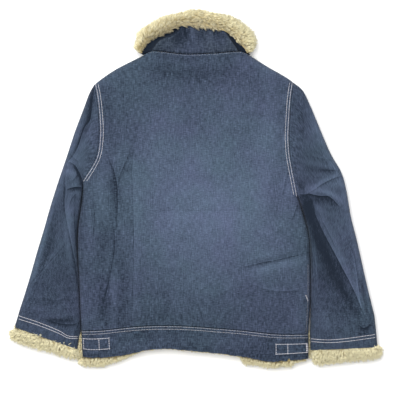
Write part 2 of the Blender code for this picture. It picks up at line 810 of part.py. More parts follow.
def collar_height(x, y, up):
    """Height of the under-collar, up from the neck seam."""
    top = COLLAR_SEAM_HEIGHT + (COLLAR_TOP_HEIGHT - COLLAR_SEAM_HEIGHT) * up
    return top - COLLAR_SIDE_DROP * ease(
        beyond_crease(x, y) / COLLAR_DROP_WIDTH + COLLAR_DROP_START
    )


def collar_grid(ups):
    """Outer face of the under-collar, with its top row first."""
    grid = []
    for up in reversed(ups):
        row = []
        for across in np.linspace(0.0, 1.0, COLLAR_COLUMNS):
            x, y = (1 - up) * along(collar_foot, across) + up * along(collar_inner, across)
            row.append((x, y, collar_height(x, y, up)))
        grid.append(row)
    return np.array(grid)


def make_collar(denim, sherpa, parent):
    face = collar_grid(COLLAR_ROWS)
    under = face.copy()
    under[:, :, 2] -= COLLAR_WALL
    layer_solid("collar_denim", face, under, denim, parent)

    upper = []
    lower = []
    for outward, top, underside in COLLAR_RIM:
        upper_row = []
        lower_row = []
        for across in np.linspace(0.0, 1.0, COLLAR_COLUMNS):
            inner = along(collar_inner, across)
            x, y = (1 - outward) * inner + outward * along(collar_outer, across)
            upper_row.append((x, y, top * COLLAR_RIM_HEIGHT))
            lower_row.append((x, y, underside * COLLAR_RIM_HEIGHT))
        upper.append(upper_row)
        lower.append(lower_row)
    seat = collar_grid(COLLAR_ROWS + (COLLAR_SEAT_END,))
    seat[:, :, 2] -= COLLAR_WALL + GAP
    ground = seat.copy()
    ground[:, :, 2] = 0.0
    upper = np.concatenate([np.array(upper), seat])
    lower = np.concatenate([np.array(lower), ground])
    layer_solid("collar_sherpa", upper, lower, sherpa, parent)


def make_material(name, color, roughness, metallic=0.0):
    material = bpy.data.materials.new(name)
    material.use_nodes = True
    shader = material.node_tree.nodes["Principled BSDF"]
    shader.inputs["Base Color"].default_value = (*color, 1.0)
    shader.inputs["Roughness"].default_value = roughness
    shader.inputs["Metallic"].default_value = metallic
    return material


def main():
    for item in list(bpy.data.objects):
        bpy.data.objects.remove(item, do_unlink=True)
    jacket = bpy.data.objects.new("jacket", None)
    bpy.context.scene.collection.objects.link(jacket)
    denim = make_material("denim", DENIM, 0.9)
    sherpa = make_material("sherpa", SHERPA, 1.0)
    metal = make_material("button_metal", BUTTON_METAL, 0.4, 1.0)

    make_back(denim, jacket)
    make_front("front_left", True, denim, jacket)
    make_front("front_right", False, denim, jacket)
    make_buttons(metal, jacket)
    for sleeve in SLEEVES:
        make_sleeve(sleeve, denim, jacket)
        make_cuff_pile(sleeve, sherpa, jacket)
    make_band_back(denim, jacket)
    left_columns = [column for column in band_columns() if column < LAP_END]
    right_columns = [column for column in band_columns() if column > LAP_END + LAP_STEP]
    make_band_front("waistband_front_left", left_columns + [LAP_END], denim, jacket)
    make_band_front("waistband_front_right", [LAP_END + LAP_STEP] + right_columns, denim, jacket)
    make_tabs(denim, jacket)
    make_hem_pile(sherpa, jacket)
    make_collar(denim, sherpa, jacket)


main()
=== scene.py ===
import math
from collections import namedtuple

import bpy
import numpy as np
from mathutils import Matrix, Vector, noise


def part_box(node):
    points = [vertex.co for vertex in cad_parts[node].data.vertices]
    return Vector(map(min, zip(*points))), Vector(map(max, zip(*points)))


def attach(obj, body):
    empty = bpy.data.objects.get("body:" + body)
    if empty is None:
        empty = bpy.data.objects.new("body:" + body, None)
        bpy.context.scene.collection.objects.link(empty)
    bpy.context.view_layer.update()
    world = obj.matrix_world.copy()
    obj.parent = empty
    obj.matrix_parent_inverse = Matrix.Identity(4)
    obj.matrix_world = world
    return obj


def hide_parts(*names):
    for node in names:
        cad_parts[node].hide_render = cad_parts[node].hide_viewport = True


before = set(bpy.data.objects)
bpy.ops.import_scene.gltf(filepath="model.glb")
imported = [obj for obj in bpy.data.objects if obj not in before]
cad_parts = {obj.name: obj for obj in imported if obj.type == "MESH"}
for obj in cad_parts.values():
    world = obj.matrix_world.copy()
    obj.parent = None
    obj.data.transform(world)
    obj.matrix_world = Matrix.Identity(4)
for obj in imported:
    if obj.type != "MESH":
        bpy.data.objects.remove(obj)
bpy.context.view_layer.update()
mm = 0.001  # lengths below are in millimetres, and meshes are scaled by this

# how the jacket lies: the same sizes as the solids have
laid = {
    "seamGap": 0.6,
    "collarGap": 0.8,
    "waistGap": 0.9,
    "middle": 15.85,  # height of the side seams and of the sleeves' folded edges
    "backEdge": 17.6,
    "frontEdge": 14.1,
    "bodyTop": 31.0,
    "bodyCrown": 3.0,
    "bodyHalfWidth": 250.5,
    "sleeveTop": 30.0,
    "roll": 16.0,  # radius of a folded edge
    "wall": 1.3,  # thickness of the denim
    "seamTurn": 2.4,  # how far a seamed edge turns down, and over what width
}

bodyShape = {
    "shoulderLeft": [(-223, 229), (-210, 239.5), (-188, 255), (-165, 268.5), (-116, 293)],
    "neck": [(-116, 293), (-98, 301), (-78, 301), (-23, 295), (43, 297), (96, 301), (120, 293)],
    "shoulderRight": [(120, 293), (159, 268.5), (182, 255.5), (203, 243), (216, 233)],
    "armholeLeft": [
        (-223, 229), (-217, 199), (-212, 146), (-212, 108), (-217, 74), (-229, 48), (-250, 16),
    ],
    "armholeRight": [
        (216, 233), (211, 199), (208, 158), (206, 116), (208, 78), (214, 42), (226, -19),
    ],
    "sideLeft": [
        (-250, 16), (-249, -3), (-252, -36), (-258, -80), (-260, -124), (-257, -200), (-252, -313),
    ],
    "sideRight": [(226, -19), (241, -69), (250, -105), (253, -157), (253, -245), (249, -320)],
    "waist": [
        (-252, -313), (-205, -311), (-144, -304.5), (-100, -301.5), (-56, -301),
        (-12, -302.5), (43, -306.5), (98, -311), (142, -316), (186, -320), (249, -320),
    ],
    "hem": [
        (-249, -369), (-220, -372), (-164, -367), (-107, -355), (-60, -352),
        (-6, -357), (40, -361), (78, -366), (120, -372), (160, -380), (206, -378), (249, -374),
    ],
}


# a dense line that runs smoothly through the points
def smoothLine(points, steps=12):
    rows = np.array(points, float)
    padded = np.vstack([2 * rows[0] - rows[1], rows, 2 * rows[-1] - rows[-2]])
    t = np.linspace(0.0, 1.0, steps, endpoint=False)[:, None]
    line = []
    for index in range(len(rows) - 1):
        before, start, end, after = padded[index:index + 4]
        line.append(0.5 * (
            2 * start
            + (end - before) * t
            + (2 * before - 5 * start + 4 * end - after) * t ** 2
            + (3 * start - before - 3 * end + after) * t ** 3
        ))
    return np.vstack(line + [rows[-1:]])


def joinLines(*lines):
    return np.vstack([lines[0]] + [line[1:] for line in lines[1:]])


def travelOf(line):
    return np.concatenate([[0.0], np.cumsum(np.linalg.norm(np.diff(line, axis=0), axis=1))])


# points at fractions of a line's length
def along(line, fractions):
    travel = travelOf(line)
    target = np.asarray(fractions) * travel[-1]
    return np.stack([np.interp(target, travel, line[:, axis]) for axis in range(line.shape[1])], -1)


# how far each spot is from a line, how far along it that is, and on which side, left being 1
def nearest(line, spots):
    step = np.diff(line, axis=0)
    length = np.linalg.norm(step, axis=1)
    offset = spots[..., None, :] - line[:-1]
    share = np.clip((offset * step).sum(-1) / length ** 2, 0, 1)
    rest = offset - share[..., None] * step
    distance = np.linalg.norm(rest, axis=-1)
    best = distance.argmin(-1)[..., None]
    turn = step[:, 0] * offset[..., 1] - step[:, 1] * offset[..., 0]
    travel = travelOf(line)[:-1] + share * length
    found = (distance, travel, np.sign(turn))
    return [np.take_along_axis(values, best, -1)[..., 0] for values in found]


def distanceTo(lines, spots):
    return np.min([nearest(line, spots)[0] for line in lines], axis=0)


lineStep = 2.0  # between the points of lines that sewing and pile follow


def pointsOn(line, start=0.0, end=1.0):
    return along(line, np.linspace(start, end, max(2, round(travelOf(line)[-1] / lineStep))))


def ease(t):
    t = np.clip(t, 0.0, 1.0)
    return t * t * (3 - 2 * t)


# a soft rise about zero, that is 1 at its middle
def hump(distance, width):
    return np.exp(-(distance / width) ** 2)


# rise of a rolled edge, 0 at the edge and 1 past its radius
def quarterRoll(distance, radius):
    rest = 1 - np.minimum(distance / radius, 1)
    return np.sqrt(np.maximum(0, 1 - rest * rest))


# fractions of a length that are close together at its ends and even between
def places(length, step, fineStart=True, fineEnd=True):
    fine = np.array([0.0, 0.3, 1.0, 2.2, 4.0, 6.5, 9.5, 12.7, 16.0])
    start = fine if fineStart else fine[:1]
    end = fine if fineEnd else fine[:1]
    count = max(2, round((length - start[-1] - end[-1]) / step))
    middle = np.linspace(start[-1], length - end[-1], count + 1)[1:-1]
    return np.concatenate([start, middle, length - end[::-1]]) / length


# uneven softness of cloth over its pile, from waves that each have a size and a height
def lumps(spots, waves, seed):
    total = np.zeros(spots.shape[:-1])
    for index in np.ndindex(total.shape):
        x, y = spots[index][:2]
        total[index] = sum(
            height * noise.noise((x / size, y / size, seed + 3.7 * size)) for size, height in waves
        )
    return total


# how creases and folds die out towards their ends
creaseShape = {"steps": 6, "start": 0.06, "span": 0.88, "taper": 0.7, "foldTaper": 0.5}
foldReach = 24.0


# each crease: its path, how soft it is to its left and to its right, and how far it rises or sinks
def creaseRise(spots, creases):
    total = np.zeros(spots.shape[:-1])
    shape = creaseShape
    for path, left, right, rise in creases:
        line = smoothLine(path, shape["steps"])
        distance, travel, side = nearest(line, spots)
        share = travel / travelOf(line)[-1]
        taper = np.sin(np.pi * (shape["start"] + shape["span"] * share)) ** shape["taper"]
        total += rise * taper * hump(distance, np.where(side > 0, left, right))
    return total


# each sharp fold: its path, its depth, the side that gets painted shade, 1 left or -1 right,
# as cloth drops away there, and one of three channels, which keep folds apart that lie close together
def foldFields(spots, folds):
    side = np.full((*spots.shape[:-1], 3), foldReach)
    depth = np.zeros((*spots.shape[:-1], 3))
    for path, most, dark, channel in folds:
        line = smoothLine(path, creaseShape["steps"])
        distance, travel, turn = nearest(line, spots)
        taper = np.sin(np.pi * np.clip(travel / travelOf(line)[-1], 0, 1)) ** creaseShape["foldTaper"]
        strength = most * taper * np.maximum(0, 1 - distance / foldReach)
        closer = distance < np.abs(side[..., channel])
        side[..., channel] = np.where(closer, -dark * turn * distance, side[..., channel])
        depth[..., channel] = np.where(closer, strength, depth[..., channel])
    return {"foldSide": side, "foldDepth": depth}


# each soft patch, paler or darker, real fading in some places and painted light and shade in others:
# its middle, its half sizes and its tone
def patchTone(spots, patches):
    total = np.zeros(spots.shape[:-1])
    for x, y, across, down, amount in patches:
        away = ((spots[..., 0] - x) / across) ** 2 + ((spots[..., 1] - y) / down) ** 2
        total += amount * np.exp(-away)
    return total


# how close each spot is to a seam's stitching, and how far along the seam it lies
def seamFields(spots, seams, reach=13.0):
    closeness = np.zeros(spots.shape[:-1])
    travelled = np.zeros(spots.shape[:-1])
    for seam in seams:
        distance, travel, _ = nearest(seam, spots)
        close = hump(distance, reach)
        travelled = np.where(close > closeness, travel, travelled)
        closeness = np.maximum(closeness, close)
    return {"seamCloseness": closeness, "seamTravel": travelled}


def unit(vectors):
    return vectors / np.maximum(np.linalg.norm(vectors, axis=-1, keepdims=True), 1e-9)


def addHeight(spots, height):
    return np.concatenate([spots, height[..., None]], -1)


# normals of a grid whose rows run down and whose columns run right, or round a tube
def gridNormals(grid, tube=False):
    down = np.gradient(grid, axis=0)
    right = np.gradient(grid, axis=1)
    if tube:
        right = 0.5 * (np.roll(grid, -1, axis=1) - np.roll(grid, 1, axis=1))
    return unit(np.cross(right, -down))


def gridFaces(rows, columns, tube):
    index = np.arange(rows * columns).reshape(rows, columns)
    if tube:
        index = np.hstack([index, index[:, :1]])
    faces = np.stack([index[:-1, :-1], index[1:, :-1], index[1:, 1:], index[:-1, 1:]], -1)
    return index, faces.reshape(-1, 4)


def addPiece(name, data):
    piece = bpy.data.objects.new(name, data)
    bpy.context.scene.collection.objects.link(piece)
    return piece


def newMesh(name, points, faces, edges=(), material=None, smooth=True):
    mesh = bpy.data.meshes.new(name)
    mesh.from_pydata(np.asarray(points, float).tolist(), edges, faces)
    if smooth:
        mesh.shade_smooth()
    if material:
        mesh.materials.append(material)
    return mesh


# numbers or vectors for a mesh's points
def storeOnPoints(mesh, key, values):
    values = np.asarray(values, np.float32)
    kind, field = ("FLOAT_VECTOR", "vector") if values.shape[1:] == (3,) else ("FLOAT", "value")
    mesh.attributes.new(key, kind, "POINT").data.foreach_set(field, values.ravel())


# a thin closed shell whose outer face is the grid, with its weave map and its attributes;
# flipped, its columns run from right to left
def makeShell(name, grid, wall, material, weave, tube=False, flipped=False, **attributes):
    rows, columns = grid.shape[:2]
    turn = slice(None, None, -1 if flipped else 1)
    grid, weave = grid[:, turn], weave[:, turn]
    points = np.concatenate([grid, grid - wall * gridNormals(grid, tube)]).reshape(-1, 3)
    index, outer = gridFaces(rows, columns, tube)
    inner = outer[:, ::-1] + rows * columns
    edges = [index[0, ::-1], index[-1, :]]
    if not tube:
        edges += [index[:, 0], index[::-1, -1]]
    rims = []
    for edge in edges:
        near, far = edge[:-1], edge[1:]
        rims.append(np.stack([far, near, near + rows * columns, far + rows * columns], -1))
    mesh = newMesh(name, points * mm, np.concatenate([outer, inner] + rims).tolist(), material=material)
    corners = np.zeros(len(mesh.loops), np.int32)
    mesh.loops.foreach_get("vertex_index", corners)
    flat = np.concatenate([weave.reshape(-1, 2)] * 2) * mm
    mesh.uv_layers.new(name="weave").data.foreach_set("uv", flat[corners].astype(np.float32).ravel())
    for key, values in attributes.items():
        values = np.broadcast_to(values, (rows, columns, *np.shape(values)[2:]))[:, turn]
        storeOnPoints(mesh, key, np.concatenate([values.reshape(rows * columns, -1)] * 2))
    return addPiece(name, mesh)


# what a node puts out, which is added and multiplied as a number is
class Signal:
    def __init__(self, socket):
        self.socket = socket

    def __getitem__(self, label):
        return Signal(self.socket.node.outputs[label])

    def __add__(self, other):
        return reckon("ADD", self, other)

    def __radd__(self, other):
        return reckon("ADD", other, self)

    def __sub__(self, other):
        return reckon("SUBTRACT", self, other)

    def __rsub__(self, other):
        return reckon("SUBTRACT", other, self)

    def __mul__(self, other):
        return reckon("MULTIPLY", self, other)

    def __truediv__(self, other):
        return reckon("DIVIDE", self, other)

    def __rtruediv__(self, other):
        return reckon("DIVIDE", other, self)


def feed(socket, value):
    if isinstance(value, Signal):
        socket.id_data.links.new(value.socket, socket)
    else:
        socket.default_value = value


def addNode(tree, kind, inputs=(), output=0, **settings):
    made = tree.nodes.new(kind)
    for key, value in settings.items():
        setattr(made, key, value)
    for key, value in dict(inputs).items():
        feed(made.inputs[key], value)
    return Signal(made.outputs[output])


def reckon(operation, *values):
    tree = next(value.socket.id_data for value in values if isinstance(value, Signal))
    return addNode(tree, "ShaderNodeMath", enumerate(values), operation=operation)


def vectorMath(operation, vector, other):
    inputs = {0: vector, "Scale" if operation == "SCALE" else 1: other}
    return addNode(vector.socket.id_data, "ShaderNodeVectorMath", inputs, operation=operation)


def clouds(vector, detail):
    inputs = {"Vector": vector, "Scale": 1.0, "Detail": detail, "Roughness": 0.55}
    return addNode(vector.socket.id_data, "ShaderNodeTexNoise", inputs, "Fac")


# a number from one range to another, held within it
def remap(value, low, high, newLow=0, newHigh=1):
    inputs = {"Value": value, "From Min": low, "From Max": high, "To Min": newLow, "To Max": newHigh}
    return addNode(value.socket.id_data, "ShaderNodeMapRange", inputs)


def attribute(tree, name, output="Fac"):
    return addNode(tree, "ShaderNodeAttribute", output=output, attribute_name=name)


def mixColors(share, first, second):
    inputs = {0: share, 6: first, 7: second}
    return addNode(share.socket.id_data, "ShaderNodeMix", inputs, 2, data_type="RGBA")


# a node group, with the kinds and the usual values of its inputs, and the kinds of its outputs
def newGroup(name, inputs, outputs, kind="ShaderNodeTree"):
    tree = bpy.data.node_groups.new(name, kind)
    for label, (socketKind, *usual) in inputs.items():
        socket = tree.interface.new_socket(label, in_out="INPUT", socket_type="NodeSocket" + socketKind)
        if usual:
            socket.default_value = usual[0]
    for label, socketKind in outputs.items():
        tree.interface.new_socket(label, in_out="OUTPUT", socket_type="NodeSocket" + socketKind)
    return tree, addNode(tree, "NodeGroupInput"), tree.nodes.new("NodeGroupOutput").inputs


weaveShape = {
    # how often each kind of slub changes in a millimetre across and along the cloth
    "wideSlub": (0.40, 0.058, 1),
    "fineSlub": (1.12, 0.13, 1),
    "weftSlub": (0.11, 0.64, 1),
    "wideShare": 0.6,
    "fineShare": 0.4,
    "palerThreads": 1.1,  # pale threads stand out more than dark ones
    "twillSlope": 0.72,
    "twillPitch": 1.05,
    "ridgeTone": 0.05,
    "ridgeHeight": 0.25,
    "grainHeight": 0.8,
}


# slubby indigo twill, from a map that is true to size
def denimWeaveGroup():
    shape = weaveShape
    inputs = {
        "Map": ("Vector",), "Streaks": ("Float", 1.0),
        "Crossing": ("Float", 1.0), "Seed": ("Float", 0.0),
    }
    tree, given, result = newGroup("denimWeave", inputs, {"Tone": "Float", "Height": "Float"})
    size = vectorMath("MULTIPLY", given["Map"], (1000, 1000, 1000))
    size = vectorMath("ADD", size, addNode(tree, "ShaderNodeCombineXYZ", {2: given["Seed"]}))
    wide, fine, across = [
        clouds(vectorMath("MULTIPLY", size, shape[slub]), detail)
        for slub, detail in (("wideSlub", 3.0), ("fineSlub", 2.0), ("weftSlub", 3.0))
    ]
    warp = (wide * shape["wideShare"] + fine * shape["fineShare"] - 0.5) * given["Streaks"]
    grain = warp + (across - 0.5) * given["Crossing"]
    grain = grain + grain * grain * shape["palerThreads"]
    # the diagonal ridges of the twill
    parts = addNode(tree, "ShaderNodeSeparateXYZ", {0: size})
    slant = parts[0] + parts[1] * shape["twillSlope"]
    ridges = reckon("SINE", slant * (2 * math.pi / shape["twillPitch"]))
    feed(result["Tone"], grain + ridges * shape["ridgeTone"])
    feed(result["Height"], grain * shape["grainHeight"] + ridges * shape["ridgeHeight"])
    return tree


# the small gathers that stitching leaves beside a seam
def seamPuckerGroup():
    inputs = {"Closeness": ("Float", 0.0), "Travel": ("Float", 0.0), "Spacing": ("Float", 9.0)}
    tree, given, result = newGroup("seamPucker", inputs, {"Height": "Float"})
    turns = given["Travel"] / given["Spacing"]
    place = addNode(tree, "ShaderNodeCombineXYZ", {0: turns})
    uneven = clouds(vectorMath("MULTIPLY", place, (0.45, 1, 1)), 2.0)
    gathers = reckon("SINE", (turns + uneven * 3.0) * (2 * math.pi))
    feed(result["Height"], gathers * given["Closeness"])
    return tree


# light and dark places, some large and some small, sized in millimetres
def unevenToneGroup():
    inputs = {"Vector": ("Vector",), "Large": ("Float", 60.0), "Small": ("Float", 14.0)}
    tree, given, result = newGroup("unevenTone", inputs, {"Tone": "Float"})
    large, small = [
        clouds(vectorMath("SCALE", given["Vector"], 1000.0 / given[size]), 3.0) - 0.5
        for size in ("Large", "Small")
    ]
    feed(result["Tone"], large + small * 0.6)
    return tree


# how wide and strong a fold's painted highlight and painted shade are
foldLook = {"narrow": 2.4, "wide": 8.0, "pale": 0.13, "narrowShade": 0.30, "wideShade": 0.15}


# relief, painted highlight and painted shade beside a sharp fold, from the distance to it in
# millimetres
def sharpFoldGroup():
    inputs = {"Side": ("Float", foldReach), "Depth": ("Float", 0.0)}
    tree, given, result = newGroup("sharpFold", inputs, {"Tone": "Float", "Height": "Float"})
    away = reckon("ABSOLUTE", given["Side"]) * -1.0
    crest = reckon("GREATER_THAN", given["Side"], 0.0)
    narrow = reckon("EXPONENT", away / foldLook["narrow"])
    wide = reckon("EXPONENT", away / foldLook["wide"])
    pale = narrow * foldLook["pale"] * crest
    shade = (narrow * foldLook["narrowShade"] + wide * foldLook["wideShade"]) * (1.0 - crest)
    feed(result["Tone"], (pale - shade) * given["Depth"])
    feed(result["Height"], (crest * 2.0 - 1.0) * narrow * given["Depth"])
    return tree


denimWeave = denimWeaveGroup()
sharpFold = sharpFoldGroup()
seamPucker = seamPuckerGroup()
unevenTone = unevenToneGroup()


def startMaterial(name, roughness, **constants):
    material = bpy.data.materials.new(name)
    material.use_nodes = True
    surface = material.node_tree.nodes["Principled BSDF"].inputs
    for label, value in {"Roughness": roughness, **constants}.items():
        surface[label].default_value = value
    return material, material.node_tree, surface


# light and dark places on a piece
def unevenPlaces(tree, large=60.0, small=14.0, shift=None):
    place = addNode(tree, "ShaderNodeTexCoord", output="Object")
    if shift:
        place = vectorMath("ADD", place, shift)
    inputs = {"Vector": place, "Large": large, "Small": small}
    return addNode(tree, "ShaderNodeGroup", inputs, node_tree=unevenTone)


def addBump(tree, surface, strength, distance, height):
    inputs = {"Strength": strength, "Distance": distance, "Height": height}
    feed(surface["Normal"], addNode(tree, "ShaderNodeBump", inputs))


denimLook = {
    "deep": (0.0076, 0.0130, 0.0241, 1),  # unfaded indigo
    "worn": (0.0985, 0.1455, 0.2075, 1),  # where the white weft shows through
    "violet": (0.108, 0.1355, 0.2235, 1),  # and where it has turned warmer
    "greyer": (0.108, 0.1400, 0.1800, 1),  # the collar's
    "roughness": 0.88,
    "grain": 1.25,  # how strongly the slubs show
    "clouds": 0.22,
    # painted light and shade on the gathers beside seams
    "pucker": 0.035,
    "puckerHeight": 1.4,
    "foldHeight": 1.2,
    "bump": 0.45,
    "bumpDepth": 0.0009,
    "driftLarge": 220.0,
    "driftSmall": 60.0,
    "driftRange": 0.17,
}


def makeDenim(name, base, seed, crossing=0.8, worn="worn"):
    look = denimLook
    material, tree, surface = startMaterial(
        name, look["roughness"], **{"Specular IOR Level": 0.14, "Sheen Weight": 0.03}
    )
    place = addNode(tree, "ShaderNodeUVMap", uv_map="weave")
    inputs = {"Map": place, "Crossing": crossing, "Seed": seed}
    weave = addNode(tree, "ShaderNodeGroup", inputs, node_tree=denimWeave)
    inputs = {"Closeness": attribute(tree, "seamCloseness"), "Travel": attribute(tree, "seamTravel")}
    pucker = addNode(tree, "ShaderNodeGroup", inputs, node_tree=seamPucker)
    # the per-point tone holds wear and fading, and painted light and shade beside folds and in hollows
    tone = base + attribute(tree, "fade") + weave["Tone"] * look["grain"]
    # the gathers beside seams also paint light and shade into the colour
    tone = tone + unevenPlaces(tree) * look["clouds"] + pucker * look["pucker"]
    height = weave["Height"] + pucker * look["puckerHeight"]
    sides = addNode(tree, "ShaderNodeSeparateXYZ", {0: attribute(tree, "foldSide", "Vector")})
    depths = addNode(tree, "ShaderNodeSeparateXYZ", {0: attribute(tree, "foldDepth", "Vector")})
    for channel in range(3):
        inputs = {"Side": sides[channel], "Depth": depths[channel]}
        fold = addNode(tree, "ShaderNodeGroup", inputs, node_tree=sharpFold)
        tone = tone + fold["Tone"]
        height = height + fold["Height"] * look["foldHeight"]
    drift = unevenPlaces(tree, look["driftLarge"], look["driftSmall"], (3.1, 1.7, 0.4))
    faded = mixColors(remap(drift, -look["driftRange"], look["driftRange"]), look[worn], look["violet"])
    feed(surface["Base Color"], mixColors(remap(tone, 0, 1), look["deep"], faded))
    addBump(tree, surface, look["bump"], look["bumpDepth"], height)
    return material


bodyDenim = makeDenim("bodyDenim", 0.30, 11.0)
sleeveDenim = makeDenim("sleeveDenim", 0.25, 37.0)
bandDenim = makeDenim("bandDenim", 0.20, 53.0, crossing=1.0)
collarCloth = makeDenim("collarCloth", 0.17, 71.0, worn="greyer")
print("denims made")

(shoulderLeft, neckLine, shoulderRight, armholeLeft, armholeRight, sideLeft, sideRight, waistLine,
 hemLine) = [smoothLine(points) for points in bodyShape.values()]
bodyTop = joinLines(shoulderLeft, neckLine, shoulderRight)
bodyLeft = joinLines(armholeLeft, sideLeft)
bodyRight = joinLines(armholeRight, sideRight)
bandLeft = np.array([waistLine[0], hemLine[0]])
bandRight = np.array([waistLine[-1], hemLine[-1]])
fullSideLeft = joinLines(sideLeft, bandLeft)
fullSideRight = joinLines(sideRight, bandRight)
foldedEdges = [shoulderLeft, shoulderRight, fullSideLeft, fullSideRight]
bodySeams = [armholeLeft, armholeRight, waistLine, neckLine]

# creases of the back, largest first
backCreases = [
    ([(104, -170), (142, -162), (186, -153), (223, -144), (248, -139)], 5, 7, -2.2),
    ([(112, -186), (180, -171), (240, -158)], 9, 15, 2.8),
    ([(-188, 56), (-176, 19), (-166, -36)], 9, 14, -3.2),
    ([(-214, 30), (-206, -20), (-198, -66)], 12, 12, 2.6),
    ([(-172, -30), (-163, -110), (-160, -200), (-167, -305)], 20, 16, -2.4),
    ([(-205, -90), (-199, -200), (-196, -300)], 11, 13, -2.6),
    ([(-184, -150), (-180, -230), (-183, -305)], 9, 9, 2.2),
    ([(-140, 70), (-134, -120), (-138, -300)], 13, 26, 1.3),
    ([(200, 70), (186, 10), (170, -70)], 16, 18, -2.8),
    ([(150, 190), (170, 120), (176, 50)], 18, 16, 1.5),
    ([(-112, 262), (0, 254), (112, 262)], 14, 20, -1.8),
    ([(-196, 214), (-186, 150), (-190, 90)], 14, 16, -1.6),
    ([(-120, 278), (-150, 220), (-168, 150)], 12, 22, 1.2),
    ([(130, 270), (146, 200), (140, 130)], 18, 14, -1.3),
    ([(146, -219), (172, -223), (198, -226)], 4, 6, 1.3),
    ([(36, -246), (90, -232), (150, -240)], 12, 12, -1.1),
    ([(-90, -290), (-60, -262), (-70, -220)], 12, 12, -1.2),
    ([(60, -285), (74, -255), (70, -215)], 10, 14, 1.0),
    ([(-100, 20), (-20, 34), (60, 18)], 26, 22, -1.0),
    ([(-70, -70), (10, -62), (110, -84)], 22, 26, 0.9),
]
bodyWaves = [(95, 1.5), (38, 0.7), (15, 0.22)]

backFolds = [
    ([(-122, 146), (-134, 91), (-139, 52), (-137, -25), (-135, -135), (-138, -260),
      (-140, -311)], 0.6, -1, 0),
    ([(-192, 72), (-187, 58), (-180, 42), (-174, 16), (-171, -10), (-171, -46),
      (-173, -90)], 0.85, -1, 1),
    ([(-144, 90), (-151, 66), (-158, 50), (-168, 24), (-172, -4)], 0.7, 1, 2),
    ([(-199, 70), (-178, 79), (-158, 80), (-146, 84)], 0.4, -1, 0),
    ([(92, -175), (112, -171), (142, -164), (186, -155), (223, -146), (254, -138)], 0.7, -1, 0),
    ([(-150, -52), (-90, -50), (-20, -49), (60, -50), (120, -51), (176, -54)], 0.22, 1, 2),
    ([(-181, -66), (-177, -113), (-179, -148), (-190, -206), (-199, -241), (-204, -267),
      (-201, -290)], 0.6, -1, 2),
    ([(-228, -6), (-221, -60), (-224, -130), (-216, -190)], 0.4, -1, 0),
    ([(-200, -140), (-206, -190), (-212, -236), (-216, -280)], 0.4, 1, 1),
    ([(-189, -214), (-182, -246), (-172, -276), (-164, -300)], 0.35, -1, 1),
    ([(206, 60), (196, 10), (186, -40)], 0.45, 1, 1),
    ([(226, -30), (214, -62), (200, -84)], 0.45, 1, 2),
    ([(118, -206), (132, -213), (157, -222), (190, -226), (240, -223)], 0.6, -1, 1),
    ([(-204, 200), (-196, 150), (-200, 104)], 0.4, -1, 1),
    ([(-170, 236), (-160, 200), (-164, 168)], 0.3, 1, 2),
    ([(-70, -296), (-58, -270), (-62, -246)], 0.35, 1, 1),
    ([(54, -300), (64, -272), (60, -244)], 0.3, -1, 1),
    ([(190, 196), (182, 150), (188, 110)], 0.3, 1, 2),
    ([(-214, -250), (-190, -262), (-170, -258)], 0.35, -1, 1),
]

# paler and darker bands beside the back's folds and edges: painted light and painted shade, in part
# real rubbing; the last number in tone
backShades = [
    ([(-118, 140), (-130, 91), (-134, 52), (-131, -25), (-129, -135), (-134, -311)], 16, 4, 0.05),
    ([(-128, 140), (-143, 91), (-149, 52), (-147, -25), (-145, -135), (-150, -311)], 4, 12, -0.05),
    ([(-200, 62), (-178, 68), (-154, 78)], 8, 7, 0.11),
    ([(-183, 36), (-178, 10), (-176, -30)], 2, 8, -0.06),
    ([(130, -214), (157, -222), (190, -226), (236, -223)], 2, 2, 0.08),
    ([(-236, -10), (-228, -120), (-222, -220)], 5, 6, 0.06),
    ([(-246, -20), (-251, -80), (-251, -150), (-250, -190)], 7, 3, -0.12),
    ([(-254, -196), (-253, -250), (-250, -308)], 5, 5, 0.10),
    ([(110, -182), (150, -174), (190, -165), (246, -151)], 4, 9, 0.07),
    ([(247, -110), (249, -200), (246, -315)], 3, 6, 0.02),
    ([(208, 150), (199, 80), (206, 20), (222, -20)], 3, 16, 0.06),
    ([(-214, 190), (-206, 150), (-206, 100), (-214, 60)], 14, 3, 0.05),
    ([(-84, 290), (-20, 285), (84, 292)], 3, 6, -0.08),
    ([(124, 286), (158, 264), (200, 238)], 5, 9, 0.10),
    ([(-212, 228), (-166, 261), (-122, 285)], 5, 6, 0.05),
    ([(-195, -130), (-199, -180), (-208, -232)], 6, 5, 0.07),
    ([(-174, -110), (-177, -150), (-188, -206), (-197, -244), (-201, -280)], 4, 7, -0.06),
    ([(-187, -222), (-180, -250), (-172, -280)], 4, 4, 0.07),
    ([(-176, -120), (-170, -200), (-176, -300)], 5, 4, 0.05),
]

# paler and darker places of the back: its faded middle, and smaller patches that paint light and shade
backPatches = [
    (21, -36, 150, 150, 0.28),
    (150, -50, 60, 90, 0.07),
    (155, 110, 30, 80, 0.10),
    (0, 262, 190, 60, -0.05),
    (-200, 60, 40, 120, -0.05),
    (-195, -200, 45, 120, -0.05),
    (20, -300, 260, 55, -0.08),
    (-60, -120, 40, 60, 0.04),
    (-90, 70, 32, 80, 0.08),
    (-34, 26, 36, 34, 0.05),
    (152, 238, 22, 36, 0.12),
    (190, 15, 18, 34, 0.09),
    (-198, 34, 15, 24, 0.09),
    (-163, -94, 11, 36, 0.14),
    (-150, -125, 12, 34, 0.06),
    (-201, -186, 11, 38, 0.14),
    (-160, 192, 16, 46, -0.07),
    (-121, -212, 12, 66, -0.08),
    (170, -146, 60, 13, 0.09),
    (112, 268, 22, 14, 0.09),
    (222, -284, 14, 24, 0.07),
    (20, -52, 50, 16, -0.04),
    (-190, 36, 13, 22, 0.08),
    (168, 0, 34, 34, 0.05),
    (130, 130, 70, 60, 0.04),
    (40, 200, 90, 40, 0.03),
]


